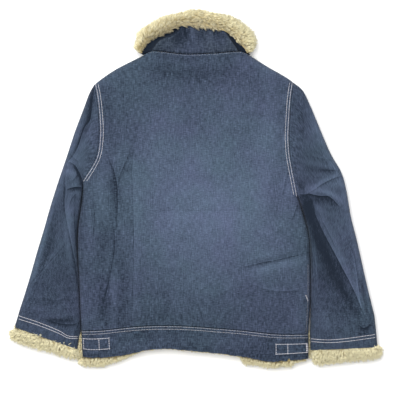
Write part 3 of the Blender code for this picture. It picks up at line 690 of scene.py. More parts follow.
# height of the upper side of the body and its waistband
def bodyHeight(spots, creases, waves, seed):
    crown = laid["bodyCrown"] * np.maximum(0, 1 - (spots[..., 0] / laid["bodyHalfWidth"]) ** 2)
    top = laid["bodyTop"] + crown + creaseRise(spots, creases) + lumps(spots, waves, seed)
    return laid["backEdge"] + (top - laid["backEdge"]) * foldRise(spots)


def foldRise(spots):
    return quarterRoll(distanceTo(foldedEdges, spots), laid["roll"])


# how far a seamed edge turns down at some spots
def turnDown(spots, seams):
    return laid["seamTurn"] * (1 - quarterRoll(distanceTo(seams, spots), laid["seamTurn"]))


# a grid in plan between four lines, at fractions across and down both sides
def patchGrid(top, bottom, left, right, across, downLeft, downRight):
    a = across[None, :, None]
    down = (1 - across)[None, :] * downLeft[:, None] + across[None, :] * downRight[:, None]
    d = down[..., None]
    upper, lower = along(top, across)[None], along(bottom, across)[None]
    corners = (1 - a) * (1 - d) * top[0] + a * (1 - d) * top[-1]
    corners = corners + (1 - a) * d * bottom[0] + a * d * bottom[-1]
    return (1 - d) * upper + d * lower + (1 - a) * along(left, down) + a * along(right, down) - corners


def bodyGrid(across, downLeft, downRight):
    return patchGrid(bodyTop, waistLine, bodyLeft, bodyRight, across, downLeft, downRight)


bodyCut = {"width": 490, "sideLength": 330, "backStep": 3.2}


# fractions down the body's left and right edges, with as many rows beside each armhole
def bodyRows(step):
    rows = []
    for armhole, whole in ((armholeLeft, bodyLeft), (armholeRight, bodyRight)):
        share = travelOf(armhole)[-1] / travelOf(whole)[-1]
        upper = share * places(travelOf(armhole)[-1], step, fineEnd=False)
        lower = share + (1 - share) * places(bodyCut["sideLength"], step, fineStart=False)
        rows.append((upper, lower[1:]))
    count = min(len(upper) for upper, _ in rows)
    fractions = []
    for upper, lower in rows:
        spread = np.interp(np.linspace(0, 1, count), np.linspace(0, 1, len(upper)), upper)
        fractions.append(np.concatenate([spread, lower]))
    return fractions


# wear and painted light and shade: tone per millimetre of crease rise, and rubbed seamed edges
wearAndShadeLook = {
    "ridges": 0.05,  # for each millimetre that a crease rises
    "rubbed": 0.16,
    "rubbedWidth": 2.2,
    "besideRubbed": -0.03,
    "besidePlace": 5.5,
    "besideWidth": 2.0,
}


# cloth is paler on its ridges and darker in its troughs, partly from wear and partly painted light and
# shade; it is rubbed pale at its seamed edges, and the shades add painted light and shade beside folds
def wearAndShadeTone(spots, creases, edges, patches=(), shades=(), ridges=wearAndShadeLook["ridges"]):
    look = wearAndShadeLook
    tone = ridges * creaseRise(spots, creases) + patchTone(spots, patches) + creaseRise(spots, shades)
    distance = distanceTo(edges, spots)
    rubbed = look["rubbed"] * hump(distance, look["rubbedWidth"])
    dulled = look["besideRubbed"] * hump(distance - look["besidePlace"], look["besideWidth"])
    return tone + (rubbed + dulled)


def makeBack():
    spots = bodyGrid(places(bodyCut["width"], bodyCut["backStep"]), *bodyRows(bodyCut["backStep"]))
    height = bodyHeight(spots, backCreases, bodyWaves, 4.0) - turnDown(spots, bodySeams)
    return makeShell(
        "backDenim", addHeight(spots, height), laid["wall"], bodyDenim, spots,
        fade=wearAndShadeTone(spots, backCreases, bodySeams, backPatches, backShades),
        **seamFields(spots, bodySeams), **foldFields(spots, backFolds),
    )


backPiece = makeBack()
print("back made")

# the fronts lie underneath, left over right, with their faces to the floor
frontShape = {
    "lapStart": 0.46,
    "lapEnd": 0.54,
    "lapStep": 0.0012,
    "lapRise": 5.3,
    "channelMiddle": 0.5,
    "channelHalf": 0.025,
    "channelRise": 1.8,
    "step": 7.0,
    "ridges": -0.03,
}
frontCreases = [
    ([(-180, 120), (-150, 20), (-160, -90)], 16, 20, 1.3),
    ([(-90, -40), (-110, -160), (-100, -260)], 18, 14, 1.0),
    ([(110, 140), (130, 40), (120, -60)], 20, 16, 1.2),
    ([(150, -120), (120, -180), (90, -220)], 12, 16, 1.1),
]


def makeFront(name, leftSide):
    shape = frontShape
    step, lapEnd = shape["lapStep"], shape["lapEnd"]
    across = places(bodyCut["width"], shape["step"])
    if leftSide:
        start, end = shape["channelMiddle"] + shape["channelHalf"] * np.array([-1, 1])
        extra = [start, start + step, end - step, end, lapEnd - step, lapEnd]
        across = across[across < lapEnd - 2 * step]
    else:
        extra = [shape["lapStart"], lapEnd, lapEnd + step, lapEnd + 3 * step]
        across = across[across > lapEnd + 5 * step]
    across = np.unique(np.concatenate([across, extra]))
    spots = bodyGrid(across, *bodyRows(shape["step"]))
    height = laid["frontEdge"] * (1 - foldRise(spots)) + np.maximum(0, creaseRise(spots, frontCreases))
    if leftSide:
        outside = np.abs(across - shape["channelMiddle"]) - shape["channelHalf"]
        height = np.maximum(height, shape["channelRise"] * ease(-outside / step))
    else:
        height = np.where(across < lapEnd + step / 2, shape["lapRise"], height)
    height = height + turnDown(spots, bodySeams)
    seams = [armholeLeft, armholeRight, waistLine, spots[:, -1 if leftSide else 0]]
    return makeShell(
        name, addHeight(spots, height), laid["wall"], bodyDenim, spots, flipped=True,
        fade=wearAndShadeTone(spots, frontCreases, seams, ridges=shape["ridges"]), **seamFields(spots, seams),
    )


frontPieces = [makeFront("frontLeftDenim", True), makeFront("frontRightDenim", False)]
print("fronts made")

# sections of each sleeve: its outer edge's x and y, how far down the body's side its inner edge lies
# and how far off it, and how much of the armhole's curve it keeps
leftSections = [
    (-223, 229, 16, 0, 1.00),
    (-234, 209, 8, 0.5, 0.75),
    (-246, 177, -6, 0, 0.50),
    (-266, 124, -36, 0, 0.25),
    (-283, 72, -69, 0, 0.10),
    (-301, 19, -107, 0, 0.02),
    (-318, -34, -146, 0, 0.00),
    (-333, -87, -184, 0, 0.00),
    (-349, -140, -223, 0, 0.00),
    (-364, -193, -261, 0, 0.00),
    (-380, -245, -298, 0, 0.00),
    (-387, -266, -314, 1, 0.00),
    (-393, -287, -332, 5.5, 0.00),
    (-399, -305, -354, 10.5, 0.00),
]
rightSections = [
    (216, 233, -19, 0, 1.00),
    (236, 216, -34, 0, 0.80),
    (253, 182, -61, 0, 0.55),
    (275, 129, -91, 0, 0.25),
    (298, 76, -124, 0, 0.10),
    (321, 36, -153, 0, 0.02),
    (332, -3, -179, 0, 0.00),
    (342, -61, -210, 0, 0.00),
    (355, -113, -241, 0, 0.00),
    (367, -166, -266, 1, 0.00),
    (379, -219, -287, 2, 0.00),
    (391, -268, -306, 3, 0.00),
    (395, -288, -318, 3, 0.00),
    (401, -350, -356, 4, 0.00),
]
leftSleeveCreases = [
    ([(-224, 218), (-230, 158), (-246, 118), (-262, 84), (-278, 62)], 6, 7, -2.6),
    ([(-232, 190), (-243, 140), (-258, 108)], 12, 8, 1.8),
    ([(-264, 50), (-252, 24), (-248, 2)], 5, 8, -4.0),
    ([(-276, 30), (-268, 20), (-256, 14)], 6, 5, 2.6),
    ([(-278, 2), (-266, -2), (-250, 2)], 5, 5, -3.2),
    ([(-288, 36), (-272, 34), (-262, 28)], 7, 7, 2.4),
    ([(-276, -5), (-281, -90), (-272, -178)], 14, 20, 4.2),
    ([(-262, -40), (-264, -120), (-262, -180)], 7, 9, -2.6),
    ([(-284, -118), (-318, -158), (-355, -203)], 5, 8, 1.7),
    ([(-300, -30), (-322, -110), (-350, -200)], 16, 14, -2.6),
    ([(-331, -289), (-296, -293), (-260, -292)], 6, 6, -2.6),
    ([(-352, -262), (-318, -268), (-280, -262)], 9, 8, 1.4),
    ([(-268, 120), (-282, 80), (-290, 40)], 8, 10, -1.4),
    ([(-300, -200), (-292, -240), (-296, -280)], 10, 12, 1.5),
]
rightSleeveCreases = [
    ([(258, -22), (272, -58), (289, -102), (312, -146), (338, -201), (360, -246), (378, -296),
      (386, -312)], 14, 5, 4.4),
    ([(240, -26), (254, -62), (270, -110), (296, -168), (324, -226), (350, -268)], 8, 12, -4.8),
    ([(230, -8), (250, -4), (272, 2), (296, 6), (324, 8)], 9, 8, 3.4),
    ([(238, -12), (262, -8), (284, -9), (304, -17), (320, -32)], 7, 4, 3.6),
    ([(244, -32), (268, -25), (292, -26), (308, -38)], 4, 9, -3.4),
    ([(240, 46), (276, 42), (318, 40)], 6, 8, -2.8),
    ([(250, 54), (290, 48), (316, 42)], 6, 6, 1.6),
    ([(286, 70), (304, 52), (318, 34)], 7, 7, 2.4),
    ([(226, 20), (236, -2), (240, -20)], 6, 6, -3.0),
    ([(252, -80), (259, -140), (262, -215)], 3, 3, 1.8),
    ([(262, -120), (268, -170), (270, -226)], 3, 4, 1.6),
    ([(366, -180), (370, -226), (384, -300)], 6, 5, -2.6),
    ([(348, -130), (357, -190), (364, -240), (372, -284)], 5, 5, 1.8),
    ([(300, -236), (292, -280), (296, -318)], 12, 14, 1.8),
    ([(362, -308), (374, -316), (386, -304)], 5, 6, -3.0),
    ([(226, 196), (240, 140), (244, 92)], 12, 14, -1.6),
    ([(262, 150), (276, 108), (284, 80)], 14, 12, 1.4),
]
leftSleeveFolds = [
    ([(-221, 226), (-223, 218), (-227, 187), (-231, 152), (-242, 137), (-250, 118), (-257, 96),
      (-268, 74), (-279, 61), (-288, 54)], 1.3, -1, 0),
    ([(-283, 57), (-276, 58), (-264, 50), (-256, 36), (-250, 22), (-247, 4), (-246, -20),
      (-247, -52)], 1.5, -1, 1),
    ([(-286, -3), (-276, 1), (-262, 4), (-248, 3), (-238, 1)], 1.9, -1, 2),
    ([(-272, 47), (-264, 41), (-261, 30), (-268, 20), (-274, 17)], 0.9, 1, 0),
    ([(-281, 60), (-285, 40), (-287, 14), (-286, -10), (-290, -30)], 0.7, -1, 2),
    ([(-284, 8), (-287, -10), (-287, -47), (-276, -107), (-262, -179), (-254, -252)], 0.9, -1, 0),
    ([(-266, -8), (-268, -60), (-264, -120), (-258, -170)], 0.45, 1, 1),
    ([(-330, -287), (-307, -294), (-287, -298), (-268, -298), (-256, -293)], 1.1, -1, 1),
    ([(-252, -280), (-262, -306), (-268, -322)], 0.6, 1, 2),
    ([(-276, -114), (-318, -160), (-370, -220)], 0.6, -1, 2),
    ([(-304, -90), (-326, -150), (-352, -226)], 0.3, -1, 1),
    ([(-256, 60), (-266, 66), (-278, 78)], 0.5, 1, 2),
    ([(-262, -10), (-270, -18), (-276, -30), (-278, -46)], 0.9, 1, 2),
    ([(-340, -238), (-310, -246), (-284, -240)], 0.35, -1, 0),
    ([(-308, -20), (-314, -60), (-330, -104)], 0.35, 1, 1),
]
# painted light and painted shade beside the left sleeve's folds, and painted light along its rounded
# outer edge
leftSleeveShades = [
    ([(-227, 217), (-234, 155), (-250, 118), (-274, 74)], 3, 6, -0.08),
    ([(-224, 212), (-229, 178), (-235, 150), (-244, 128)], 2, 13, -0.17),
    ([(-240, 180), (-261, 124), (-278, 72), (-296, 19), (-313, -34), (-328, -87), (-343, -140),
      (-357, -190)], 10, 6, 0.17),
    ([(-219, 205), (-226, 150), (-242, 112), (-262, 76)], 14, 2, 0.08),
    ([(-276, 40), (-280, 24), (-278, 8)], 6, 6, -0.07),
    ([(-288, 36), (-274, 38), (-264, 30), (-258, 16)], 4, 4, 0.12),
    ([(-284, -2), (-292, -60), (-290, -120), (-282, -180)], 5, 7, -0.13),
    ([(-272, -10), (-277, -80), (-272, -160)], 5, 5, 0.03),
    ([(-250, -10), (-257, -60), (-259, -110), (-255, -176)], 3, 5, -0.14),
    ([(-286, -114), (-318, -156), (-355, -203)], 3, 4, 0.10),
    ([(-332, -288), (-300, -292), (-262, -288)], 5, 4, -0.16),
    ([(-340, -276), (-305, -280), (-270, -276)], 4, 4, 0.06),
    ([(-320, -60), (-344, -150), (-366, -230)], 6, 8, 0.04),
    ([(-322, -66), (-333, -112), (-346, -160), (-366, -220), (-381, -268)], 6, 8, 0.14),
]
rightSleeveFolds = [
    ([(256, -20), (261, -41), (265, -60), (279, -91), (293, -118), (308, -146), (323, -175),
      (338, -203), (352, -232), (362, -256), (371, -280), (380, -306)], 1.25, -1, 0),
    ([(270, -46), (274, -60), (288, -88), (303, -118), (314, -142)], 0.55, -1, 1),
    ([(340, -128), (349, -152), (355, -188), (359, -224), (363, -252), (371, -282),
      (382, -302)], 0.9, 1, 1),
    ([(228, -12), (240, -13), (250, -11), (262, -14), (276, -16), (290, -16), (298, -20), (306, -27),
      (317, -40)], 1.7, -1, 2),
    ([(246, -10), (260, -3), (274, 7), (290, 16), (308, 24), (326, 29)], 0.9, -1, 1),
    ([(246, 42), (254, 30), (264, 22), (278, 24)], 0.4, 1, 0),
    ([(249, -64), (251, -90), (254, -130), (256, -170), (259, -226)], 0.8, 1, 2),
    ([(258, -78), (262, -104), (265, -150), (268, -188), (270, -226)], 0.6, 1, 1),
    ([(276, 43), (298, 41), (320, 41)], 0.5, -1, 2),
    ([(252, 72), (280, 66), (306, 62)], 0.35, -1, 1),
    ([(358, -298), (368, -306), (377, -304), (387, -294)], 1.0, -1, 2),
    ([(352, -314), (366, -319), (382, -315)], 0.8, -1, 1),
    ([(284, 72), (302, 54), (318, 30)], 0.5, 1, 2),
    ([(232, 180), (240, 140), (236, 100)], 0.3, -1, 1),
    ([(300, -60), (318, -100), (332, -152)], 0.25, -1, 2),
    ([(286, -240), (292, -280), (300, -316)], 0.35, 1, 1),
    ([(318, -256), (332, -284), (340, -316)], 0.3, 1, 2),
]
# painted shade beside the right sleeve's folds and in its hollows, and painted light on its ridges and
# rounded outer edge
rightSleeveShades = [
    ([(252, -44), (264, -75), (275, -100), (285, -125), (292, -150), (313, -177), (322, -202),
      (327, -225), (342, -252), (356, -276), (363, -290)], 10, 9, -0.19),
    ([(240, -30), (250, -70), (262, -120), (284, -170), (306, -215)], 12, 12, -0.04),
    ([(272, -172), (284, -210), (300, -240), (330, -276)], 12, 14, -0.05),
    ([(250, 190), (272, 126), (294, 72), (317, 32), (328, -5), (338, -62), (351, -114), (361, -160),
      (366, -186)], 6, 9, 0.17),
    ([(351, -160), (356, -200), (360, -226), (364, -254), (371, -282)], 2, 3, 0.14),
    ([(365, -196), (368, -226), (373, -258), (379, -284)], 4, 3, -0.09),
    ([(372, -206), (379, -240), (386, -280)], 3, 4, 0.12),
    ([(266, -44), (282, -86), (302, -130), (321, -166), (340, -200), (358, -238)], 16, 3, -0.03),
    ([(262, -5), (280, -8), (296, -12), (308, -19), (320, -30)], 7, 2, 0.22),
    ([(350, -126), (356, -152), (363, -184), (370, -212)], 6, 7, 0.14),
    ([(332, -60), (344, -96), (352, -128)], 5, 5, 0.06),
    ([(250, -5), (261, 3), (274, 13), (292, 22), (314, 31)], 4, 4, 0.12),
    ([(268, -3), (280, 3), (292, 7)], 3, 3, -0.08),
    ([(292, 24), (304, 24), (320, 18)], 6, 6, 0.10),
    ([(244, 42), (280, 39), (318, 38)], 4, 6, -0.09),
    ([(252, -80), (256, -140), (261, -215)], 2.5, 2.5, 0.12),
    ([(262, -110), (267, -170), (271, -226)], 3.5, 3.5, 0.12),
    ([(257, -90), (261, -150), (266, -220)], 2.5, 2.5, -0.06),
    ([(364, -300), (374, -308), (386, -298)], 3, 3, -0.14),
    ([(360, -312), (372, -320), (384, -314)], 3, 3, 0.10),
    ([(222, 180), (222, 120), (226, 60)], 12, 3, -0.03),
    ([(268, -250), (276, -280), (280, -310)], 6, 6, 0.06),
]
# paler and darker places of the sleeves, mostly painted: shade in their hollows and light on their
# rounded edges
leftSleevePatches = [
    (-270, 62, 26, 50, 0.15),
    (-270, 0, 16, 12, 0.10),
    (-254, 120, 12, 24, 0.06),
    (-255, -228, 10, 40, 0.14),
    (-310, -240, 40, 50, -0.03),
    (-360, -260, 60, 60, -0.03),
    (-290, -190, 22, 90, -0.07),
]
rightSleevePatches = [
    (247, -46, 12, 26, -0.36),
    (288, -196, 20, 44, -0.09),
    (304, -262, 28, 24, -0.09),
    (320, -40, 30, 60, 0.05),
    (318, -98, 20, 46, 0.07),
    (374, -205, 12, 60, 0.09),
    (322, -24, 14, 12, 0.10),
    (270, 130, 50, 80, 0.11),
    (300, 20, 40, 30, 0.08),
    (268, 40, 12, 9, 0.10),
    (300, -300, 40, 30, 0.02),
]
Sleeve = namedtuple("Sleeve", "name sections creases patches shades folds side armhole sign seed")
sleeves = [
    Sleeve(
        "sleeveLeftDenim", leftSections, leftSleeveCreases, leftSleevePatches, leftSleeveShades,
        leftSleeveFolds, fullSideLeft, armholeLeft, -1, 20.0,
    ),
    Sleeve(
        "sleeveRightDenim", rightSections, rightSleeveCreases, rightSleevePatches, rightSleeveShades,
        rightSleeveFolds, fullSideRight, armholeRight, 1, 31.0,
    ),
]
sleeveShape = {
    "length": 610,
    "ringStep": 3.5,
    "width": 170,
    "upperStep": 3.4,
    "lowerStep": 8.0,
    "sectionSteps": 10,
    "curveFade": 7,
    "seamEase": 0.8,  # how much of the gap beside the seam closes towards the inner edge
    "cuffSeam": 0.945,
}
sleeveWaves = [(70, 1.4), (30, 0.8), (13, 0.25)]
hollowWaves = [(60, 3.0)]  # of its underside


# outer and inner edges of a sleeve in plan, and its share of the armhole's curve, along its length
def sleeveEdges(sleeve, fractions):
    line = smoothLine(sleeve.sections, sleeveShape["sectionSteps"])
    middle = 0.5 * (line[:, :2] + line[:, [0, 2]])
    travel = travelOf(middle)
    outerX, outerY, innerY, offSide, curve = [
        np.interp(fractions, travel / travel[-1], column) for column in line.T
    ]
    sideX = np.interp(-innerY, -sleeve.side[:, 1], sleeve.side[:, 0])
    inner = np.stack([sideX + sleeve.sign * np.maximum(0, offSide), innerY], -1)
    return np.stack([outerX, outerY], -1), inner, np.maximum(0, curve)


# spots in plan across a sleeve, a row for each ring, and how near each is to a folded edge
def sleeveSpots(sleeve, fractions, across):
    outer, inner, curve = sleeveEdges(sleeve, fractions)
    a = across[None, :, None]
    chord = (1 - a) * sleeve.armhole[0] + a * sleeve.armhole[-1]
    kept = curve[:, None] ** (1 + sleeveShape["curveFade"] * across[None, :])
    bend = kept[..., None] * (along(sleeve.armhole, across) - chord)
    spots = (1 - a) * outer[:, None] + a * inner[:, None] + bend
    spots[..., 0] += sleeve.sign * laid["seamGap"] * (1 - sleeveShape["seamEase"] * across[None, :])
    width = np.linalg.norm(inner - outer, axis=1)[:, None]
    return spots, np.minimum(across, 1 - across)[None, :] * width


def sleeveFace(sleeve, fractions, across, upper):
    spots, edge = sleeveSpots(sleeve, fractions, across)
    ends = np.minimum(fractions, 1 - fractions)[:, None] * sleeveShape["length"]
    turned = laid["seamTurn"] * (1 - quarterRoll(ends, laid["seamTurn"]))
    if upper:
        reach = laid["sleeveTop"] - laid["middle"] - turned
        reach = reach + creaseRise(spots, sleeve.creases) + lumps(spots, sleeveWaves, sleeve.seed)
    else:
        reach = -(laid["middle"] - turned - np.maximum(0, lumps(spots, hollowWaves, sleeve.seed + 5)))
    return addHeight(spots, laid["middle"] + reach * quarterRoll(edge, laid["roll"]))


def makeSleeve(sleeve):
    size = sleeveShape
    fractions = places(size["length"], size["ringStep"])
    across = places(size["width"], size["upperStep"])
    acrossBelow = places(size["width"], size["lowerStep"])[1:-1]
    upper = sleeveFace(sleeve, fractions, across, True)
    lower = sleeveFace(sleeve, fractions, acrossBelow, False)
    spots = upper[..., :2]
    cuffRow = sleeveSpots(sleeve, np.array([size["cuffSeam"]]), across)[0][0]
    edges = [sleeve.armhole, spots[-1]]
    fields = {
        "fade": wearAndShadeTone(spots, sleeve.creases, edges, sleeve.patches, sleeve.shades),
        **seamFields(spots, [sleeve.armhole, cuffRow]),
        **foldFields(spots, sleeve.folds),
    }
    for key, values in fields.items():
        plain = foldReach if key == "foldSide" else 0.0
        below = np.full((*lower.shape[:2], *values.shape[2:]), plain)
        fields[key] = np.concatenate([values, below], 1)
    x = np.concatenate([across, -acrossBelow[::-1]]) * size["width"]
    weave = np.stack(np.broadcast_arrays(x, -fractions[:, None] * size["length"]), -1)
    return makeShell(
        sleeve.name, np.concatenate([upper, lower[:, ::-1]], 1), laid["wall"], sleeveDenim, weave,
        tube=True, flipped=sleeve.sign > 0, **fields,
    )


sleevePieces = [makeSleeve(sleeve) for sleeve in sleeves]
print("sleeves made")

# the waistband
bandShape = {
    "length": 500,
    "depth": 58,
    "step": 3.0,
    "rowStep": 3.2,
    "wall": 1.5,
    "hemRipple": 2.0,
    "rippleLarge": 15,
    "rippleSmall": 6,
    "notch": 6.5,  # where the hem's seams meet
    "notchX": 205,
    "notchWidth": 3.0,
}
bandCreases = [
    ([(-180, -330), (-120, -326), (-60, -322)], 5, 5, -0.9),
    ([(-40, -330), (30, -333), (100, -338)], 5, 6, 0.8),
    ([(-160, -352), (-110, -344), (-70, -338)], 6, 6, 0.9),
    ([(70, -352), (130, -358), (176, -362)], 6, 6, -0.9),
    ([(150, -330), (162, -345), (166, -362)], 6, 8, -1.1),
    ([(200, -333), (212, -340), (236, -338)], 5, 5, 0.8),
]
bandPatches = [(-160, -345, 70, 30, 0.03), (40, -335, 60, 26, 0.04), (0, -372, 300, 14, -0.08)]
bandWaves = [(40, 0.8), (14, 0.45)]


def bandHeight(spots):
    return bodyHeight(spots, bandCreases, bandWaves, 9.0)


def bandGrid(across, downLeft, downRight):
    return patchGrid(waistLine, hemLine, bandLeft, bandRight, across, downLeft, downRight)


# spots of the band in plan, with a hem that stitching draws up unevenly
def bandSpots(across, down):
    shape = bandShape
    spots = bandGrid(across, down, down)
    for index in np.ndindex(spots.shape[:2]):
        x = spots[index][0]
        ripple = noise.noise((x / shape["rippleLarge"], 2.0, 0.0))
        ripple += 0.5 * noise.noise((x / shape["rippleSmall"], 5.0, 0.0))
        notch = shape["notch"] * math.exp(-((x - shape["notchX"]) / shape["notchWidth"]) ** 2)
        spots[index][1] += (shape["hemRipple"] * ripple + notch) * down[index[0]] ** 3
    return spots


def makeBand(name, side):
    back = side == "back"
    coarse = 1 if back else 2
    lapEnd, lapStep = frontShape["lapEnd"], frontShape["lapStep"]
    across = places(bandShape["length"], coarse * bandShape["step"])
    if side == "left":
        across = np.append(across[across < lapEnd - lapStep], lapEnd)
    if side == "right":
        across = np.append(lapEnd + lapStep, across[across > lapEnd + 2 * lapStep])
    spots = bandSpots(across, places(bandShape["depth"], coarse * bandShape["rowStep"]))
    seams = [waistLine, spots[-1]]
    if back:
        height = bandHeight(spots) - turnDown(spots, seams)
        tone = wearAndShadeTone(spots, bandCreases, seams, bandPatches)
    else:
        height = laid["frontEdge"] * (1 - foldRise(spots)) + turnDown(spots, seams)
        tone = wearAndShadeTone(spots, [], seams)
    grid = addHeight(spots, height)
    grid[..., 1] -= laid["waistGap"]
    # cut along the cloth's length, so its slubs run across
    return makeShell(
        name, grid, bandShape["wall"], bandDenim, spots[..., ::-1], flipped=not back,
        fade=tone, **seamFields(spots, seams),
    )


bandPieces = [
    makeBand("waistbandBackDenim", "back"),
    makeBand("waistbandFrontLeftDenim", "left"),
    makeBand("waistbandFrontRightDenim", "right"),
]
print("waistband made")

# the two tabs on the waistband, with a box of stitches round each and a row across it
tabShape = {
    "start": 3,  # in from the side's edge
    "width": 26,
    "rowsLeft": (0.27, 0.71),  # from the waist seam to the hem, at the band's left end
    "rowsRight": (0.35, 0.75),
    "lift": 2.5,
    "wall": 1.3,
    "step": 3.0,
    "edgeTurn": 0.9,
    "edgeWidth": 1.6,
    "weaveShift": 40.0,
    "margin": 1.4,
    "fade": 0.05,
    "edgeFade": 0.20,
    "besideFade": -0.04,
    "besidePlace": 4,
    "thread": 0.8,
}
Tab = namedtuple("Tab", "name leftEnd length divider")
tabs = [Tab("tabLeftDenim", True, 62, 38.5), Tab("tabRightDenim", False, 73, 46.0)]


# fractions across the band at distances from one of its ends
def fromEnd(distances, leftEnd):
    across = np.array(distances) / bandShape["length"]
    return across if leftEnd else 1 - across[::-1]


def makeTab(tab):
    shape = tabShape
    distances = shape["start"] + (tab.length - shape["start"]) * places(tab.length, shape["step"])
    rows = np.array([shape["rowsLeft"], shape["rowsRight"]])
    downs = rows[:, :1] + (rows[:, 1:] - rows[:, :1]) * places(shape["width"], shape["step"])
    spots = bandGrid(fromEnd(distances, tab.leftEnd), *downs)
    grid = addHeight(spots, bandHeight(spots))
    grid[..., 1] -= laid["waistGap"]
    grid += shape["lift"] * gridNormals(grid)
    outline = np.concatenate([spots[0], spots[1:, -1], spots[-1, -2::-1], spots[-2::-1, 0]])
    edge = nearest(outline, spots)[0]
    grid[..., 2] -= shape["edgeTurn"] * (1 - quarterRoll(edge, shape["edgeWidth"]))
    tone = shape["fade"] + shape["edgeFade"] * hump(edge, 1.0)
    tone += shape["besideFade"] * hump(edge - shape["besidePlace"], 2.0)
    return makeShell(
        tab.name, grid, shape["wall"], bandDenim, spots[..., ::-1] + shape["weaveShift"],
        fade=tone, seamCloseness=0.0, seamTravel=0.0,
    )


tabPieces = [makeTab(tab) for tab in tabs]
print("tabs made")

# the collar is turned up, so its denim side shows, with pile rolled round its edge
collarShape = {
    "inner": [
        (-118, 297), (-118, 306), (-105, 322), (-89, 333), (-50, 351), (-30, 360),
        (21, 359), (65, 346), (89, 328), (107, 309), (114, 298),
    ],
    "outer": [
        (-119, 299), (-128, 313), (-132, 330), (-121, 349), (-78, 377), (-45, 388), (-5, 398),
        (32, 394), (87, 375), (124, 345), (131, 327), (127, 314), (117, 304),
    ],
    "creaseLeft": [(-98, 300), (-82, 322), (-67, 331), (-38, 346), (-31, 362)],
    "creaseRight": [(96, 300), (82, 320), (72, 334), (62, 350)],
    "seamHeight": 33,
    "topHeight": 39,
    "sideDrop": 11,
    "dropWidth": 11,
    "dropStart": 0.3,
    "width": 260,
    "depth": 60,
    "wall": 1.5,
    "step": 3.2,
    "turnedShade": -0.30,
    "turnedWidth": 6,
    "footShade": -0.13,
    "footWidth": 3.0,
}
collarCreases = [
    ([(-22, 362), (-21, 348), (-17, 330)], 4, 5, -4.2),
    ([(-52, 346), (-40, 336), (-30, 322)], 10, 12, -2.6),
    ([(-33, 354), (-42, 340), (-58, 328)], 5, 6, 2.4),
    ([(-8, 358), (-4, 340), (-8, 322)], 6, 7, 1.5),
    ([(14, 358), (12, 336), (18, 314)], 7, 6, -1.1),
    ([(34, 352), (32, 330), (38, 308)], 6, 8, 1.0),
    ([(56, 342), (50, 326), (52, 306)], 6, 6, -1.2),
    ([(-70, 318), (-30, 312), (20, 314)], 7, 9, 0.9),
]
collarFolds = [
    ([(-23, 364), (-21, 352), (-21, 344), (-17, 328)], 0.9, -1, 0),
    ([(-102, 294), (-98, 300), (-82, 322), (-67, 331), (-38, 346), (-30, 356)], 0.8, 1, 1),
    ([(100, 294), (96, 300), (82, 320), (72, 334), (60, 354)], 0.8, -1, 1),
    ([(-30, 354), (-40, 342), (-56, 332), (-66, 326)], 0.5, -1, 2),
    ([(18, 358), (14, 340), (20, 322)], 0.25, 1, 0),
    ([(44, 350), (42, 334), (50, 316)], 0.3, -1, 2),
]
# painted shade and painted light beside the collar's pinch and creases, and in a few patches
collarShades = [
    ([(-30, 356), (-34, 344), (-50, 334)], 4, 6, -0.08),
    ([(-27, 352), (-26, 342), (-23, 332)], 2, 3, 0.08),
    ([(22, 356), (46, 346), (60, 336)], 4, 8, -0.10),
    ([(-98, 301), (-82, 322), (-67, 331)], 2, 3, 0.12),
    ([(96, 301), (82, 320), (72, 334)], 3, 2, 0.12),
]
collarPatches = [(-40, 340, 22, 20, -0.12), (0, 322, 60, 20, 0.05), (45, 335, 20, 20, 0.03)]
collarWaves = [(30, 0.9), (12, 0.4)]
collarFoot = neckLine + np.array([0.0, laid["collarGap"]])
collarInner, collarOuter, creaseLeft, creaseRight = [
    smoothLine(collarShape[line]) for line in ("inner", "outer", "creaseLeft", "creaseRight")
]


# how far spots of the collar lie outside the creases where its sides turn down
def beyondCrease(spots):
    x, y = spots[..., 0], spots[..., 1]
    left = np.interp(y, creaseLeft[:, 1], creaseLeft[:, 0]) - x
    return np.maximum(left, x - np.interp(y, creaseRight[:, 1], creaseRight[:, 0]))


def collarHeight(spots, up):
    shape = collarShape
    turned = ease(beyondCrease(spots) / shape["dropWidth"] + shape["dropStart"])
    height = shape["seamHeight"] + (shape["topHeight"] - shape["seamHeight"]) * up
    height = height + creaseRise(spots, collarCreases) + lumps(spots, collarWaves, 14.0)
    return height - shape["sideDrop"] * turned


def makeCollar():
    shape = collarShape
    up = places(shape["depth"], shape["step"])[::-1, None]
    across = places(shape["width"], shape["step"])
    spots = (1 - up)[..., None] * along(collarFoot, across) + up[..., None] * along(collarInner, across)
    height = collarHeight(spots, up) - turnDown(spots, [collarFoot])
    # painted shade where the collar's sides turn down under the pile, and in the groove at its foot
    shade = shape["turnedShade"] * ease(beyondCrease(spots) / shape["turnedWidth"] + shape["dropStart"])
    shade += shape["footShade"] * hump(nearest(collarFoot, spots)[0], shape["footWidth"])
    return makeShell(
        "collarDenim", addHeight(spots, height), shape["wall"], collarCloth, spots,
        fade=wearAndShadeTone(spots, collarCreases, [collarInner], collarPatches, collarShades) + shade,
        **seamFields(spots, [collarFoot], 9.0), **foldFields(spots, collarFolds),
    )


collarPiece = makeCollar()
print("collar made")

# sherpa: a backing that rolls over each edge, with tufts of pile standing on it
sherpaLook = {
    # darker roots paint the shade down among the strands; the backing's darker places take this colour
    # too
    "root": (0.50, 0.40, 0.175, 1),
    "tip": (0.86, 0.80, 0.545, 1),
    "hidden": (0.30, 0.27, 0.20, 1),  # where it stays in the shade
    "roughness": 0.95,
    "large": 26.0,
    "small": 8.0,
    "unevenness": 0.55,
    "tuftContrast": 0.70,
}
backingLook = {
    "dark": sherpaLook["root"],
    "pale": (0.55, 0.46, 0.27, 1),
    "roughness": 1.0,
    "large": 12.0,
    "small": 3.0,
    "range": (-0.4, 0.4, 0, 1),
    "bump": 0.6,
    "bumpDepth": 0.002,
}


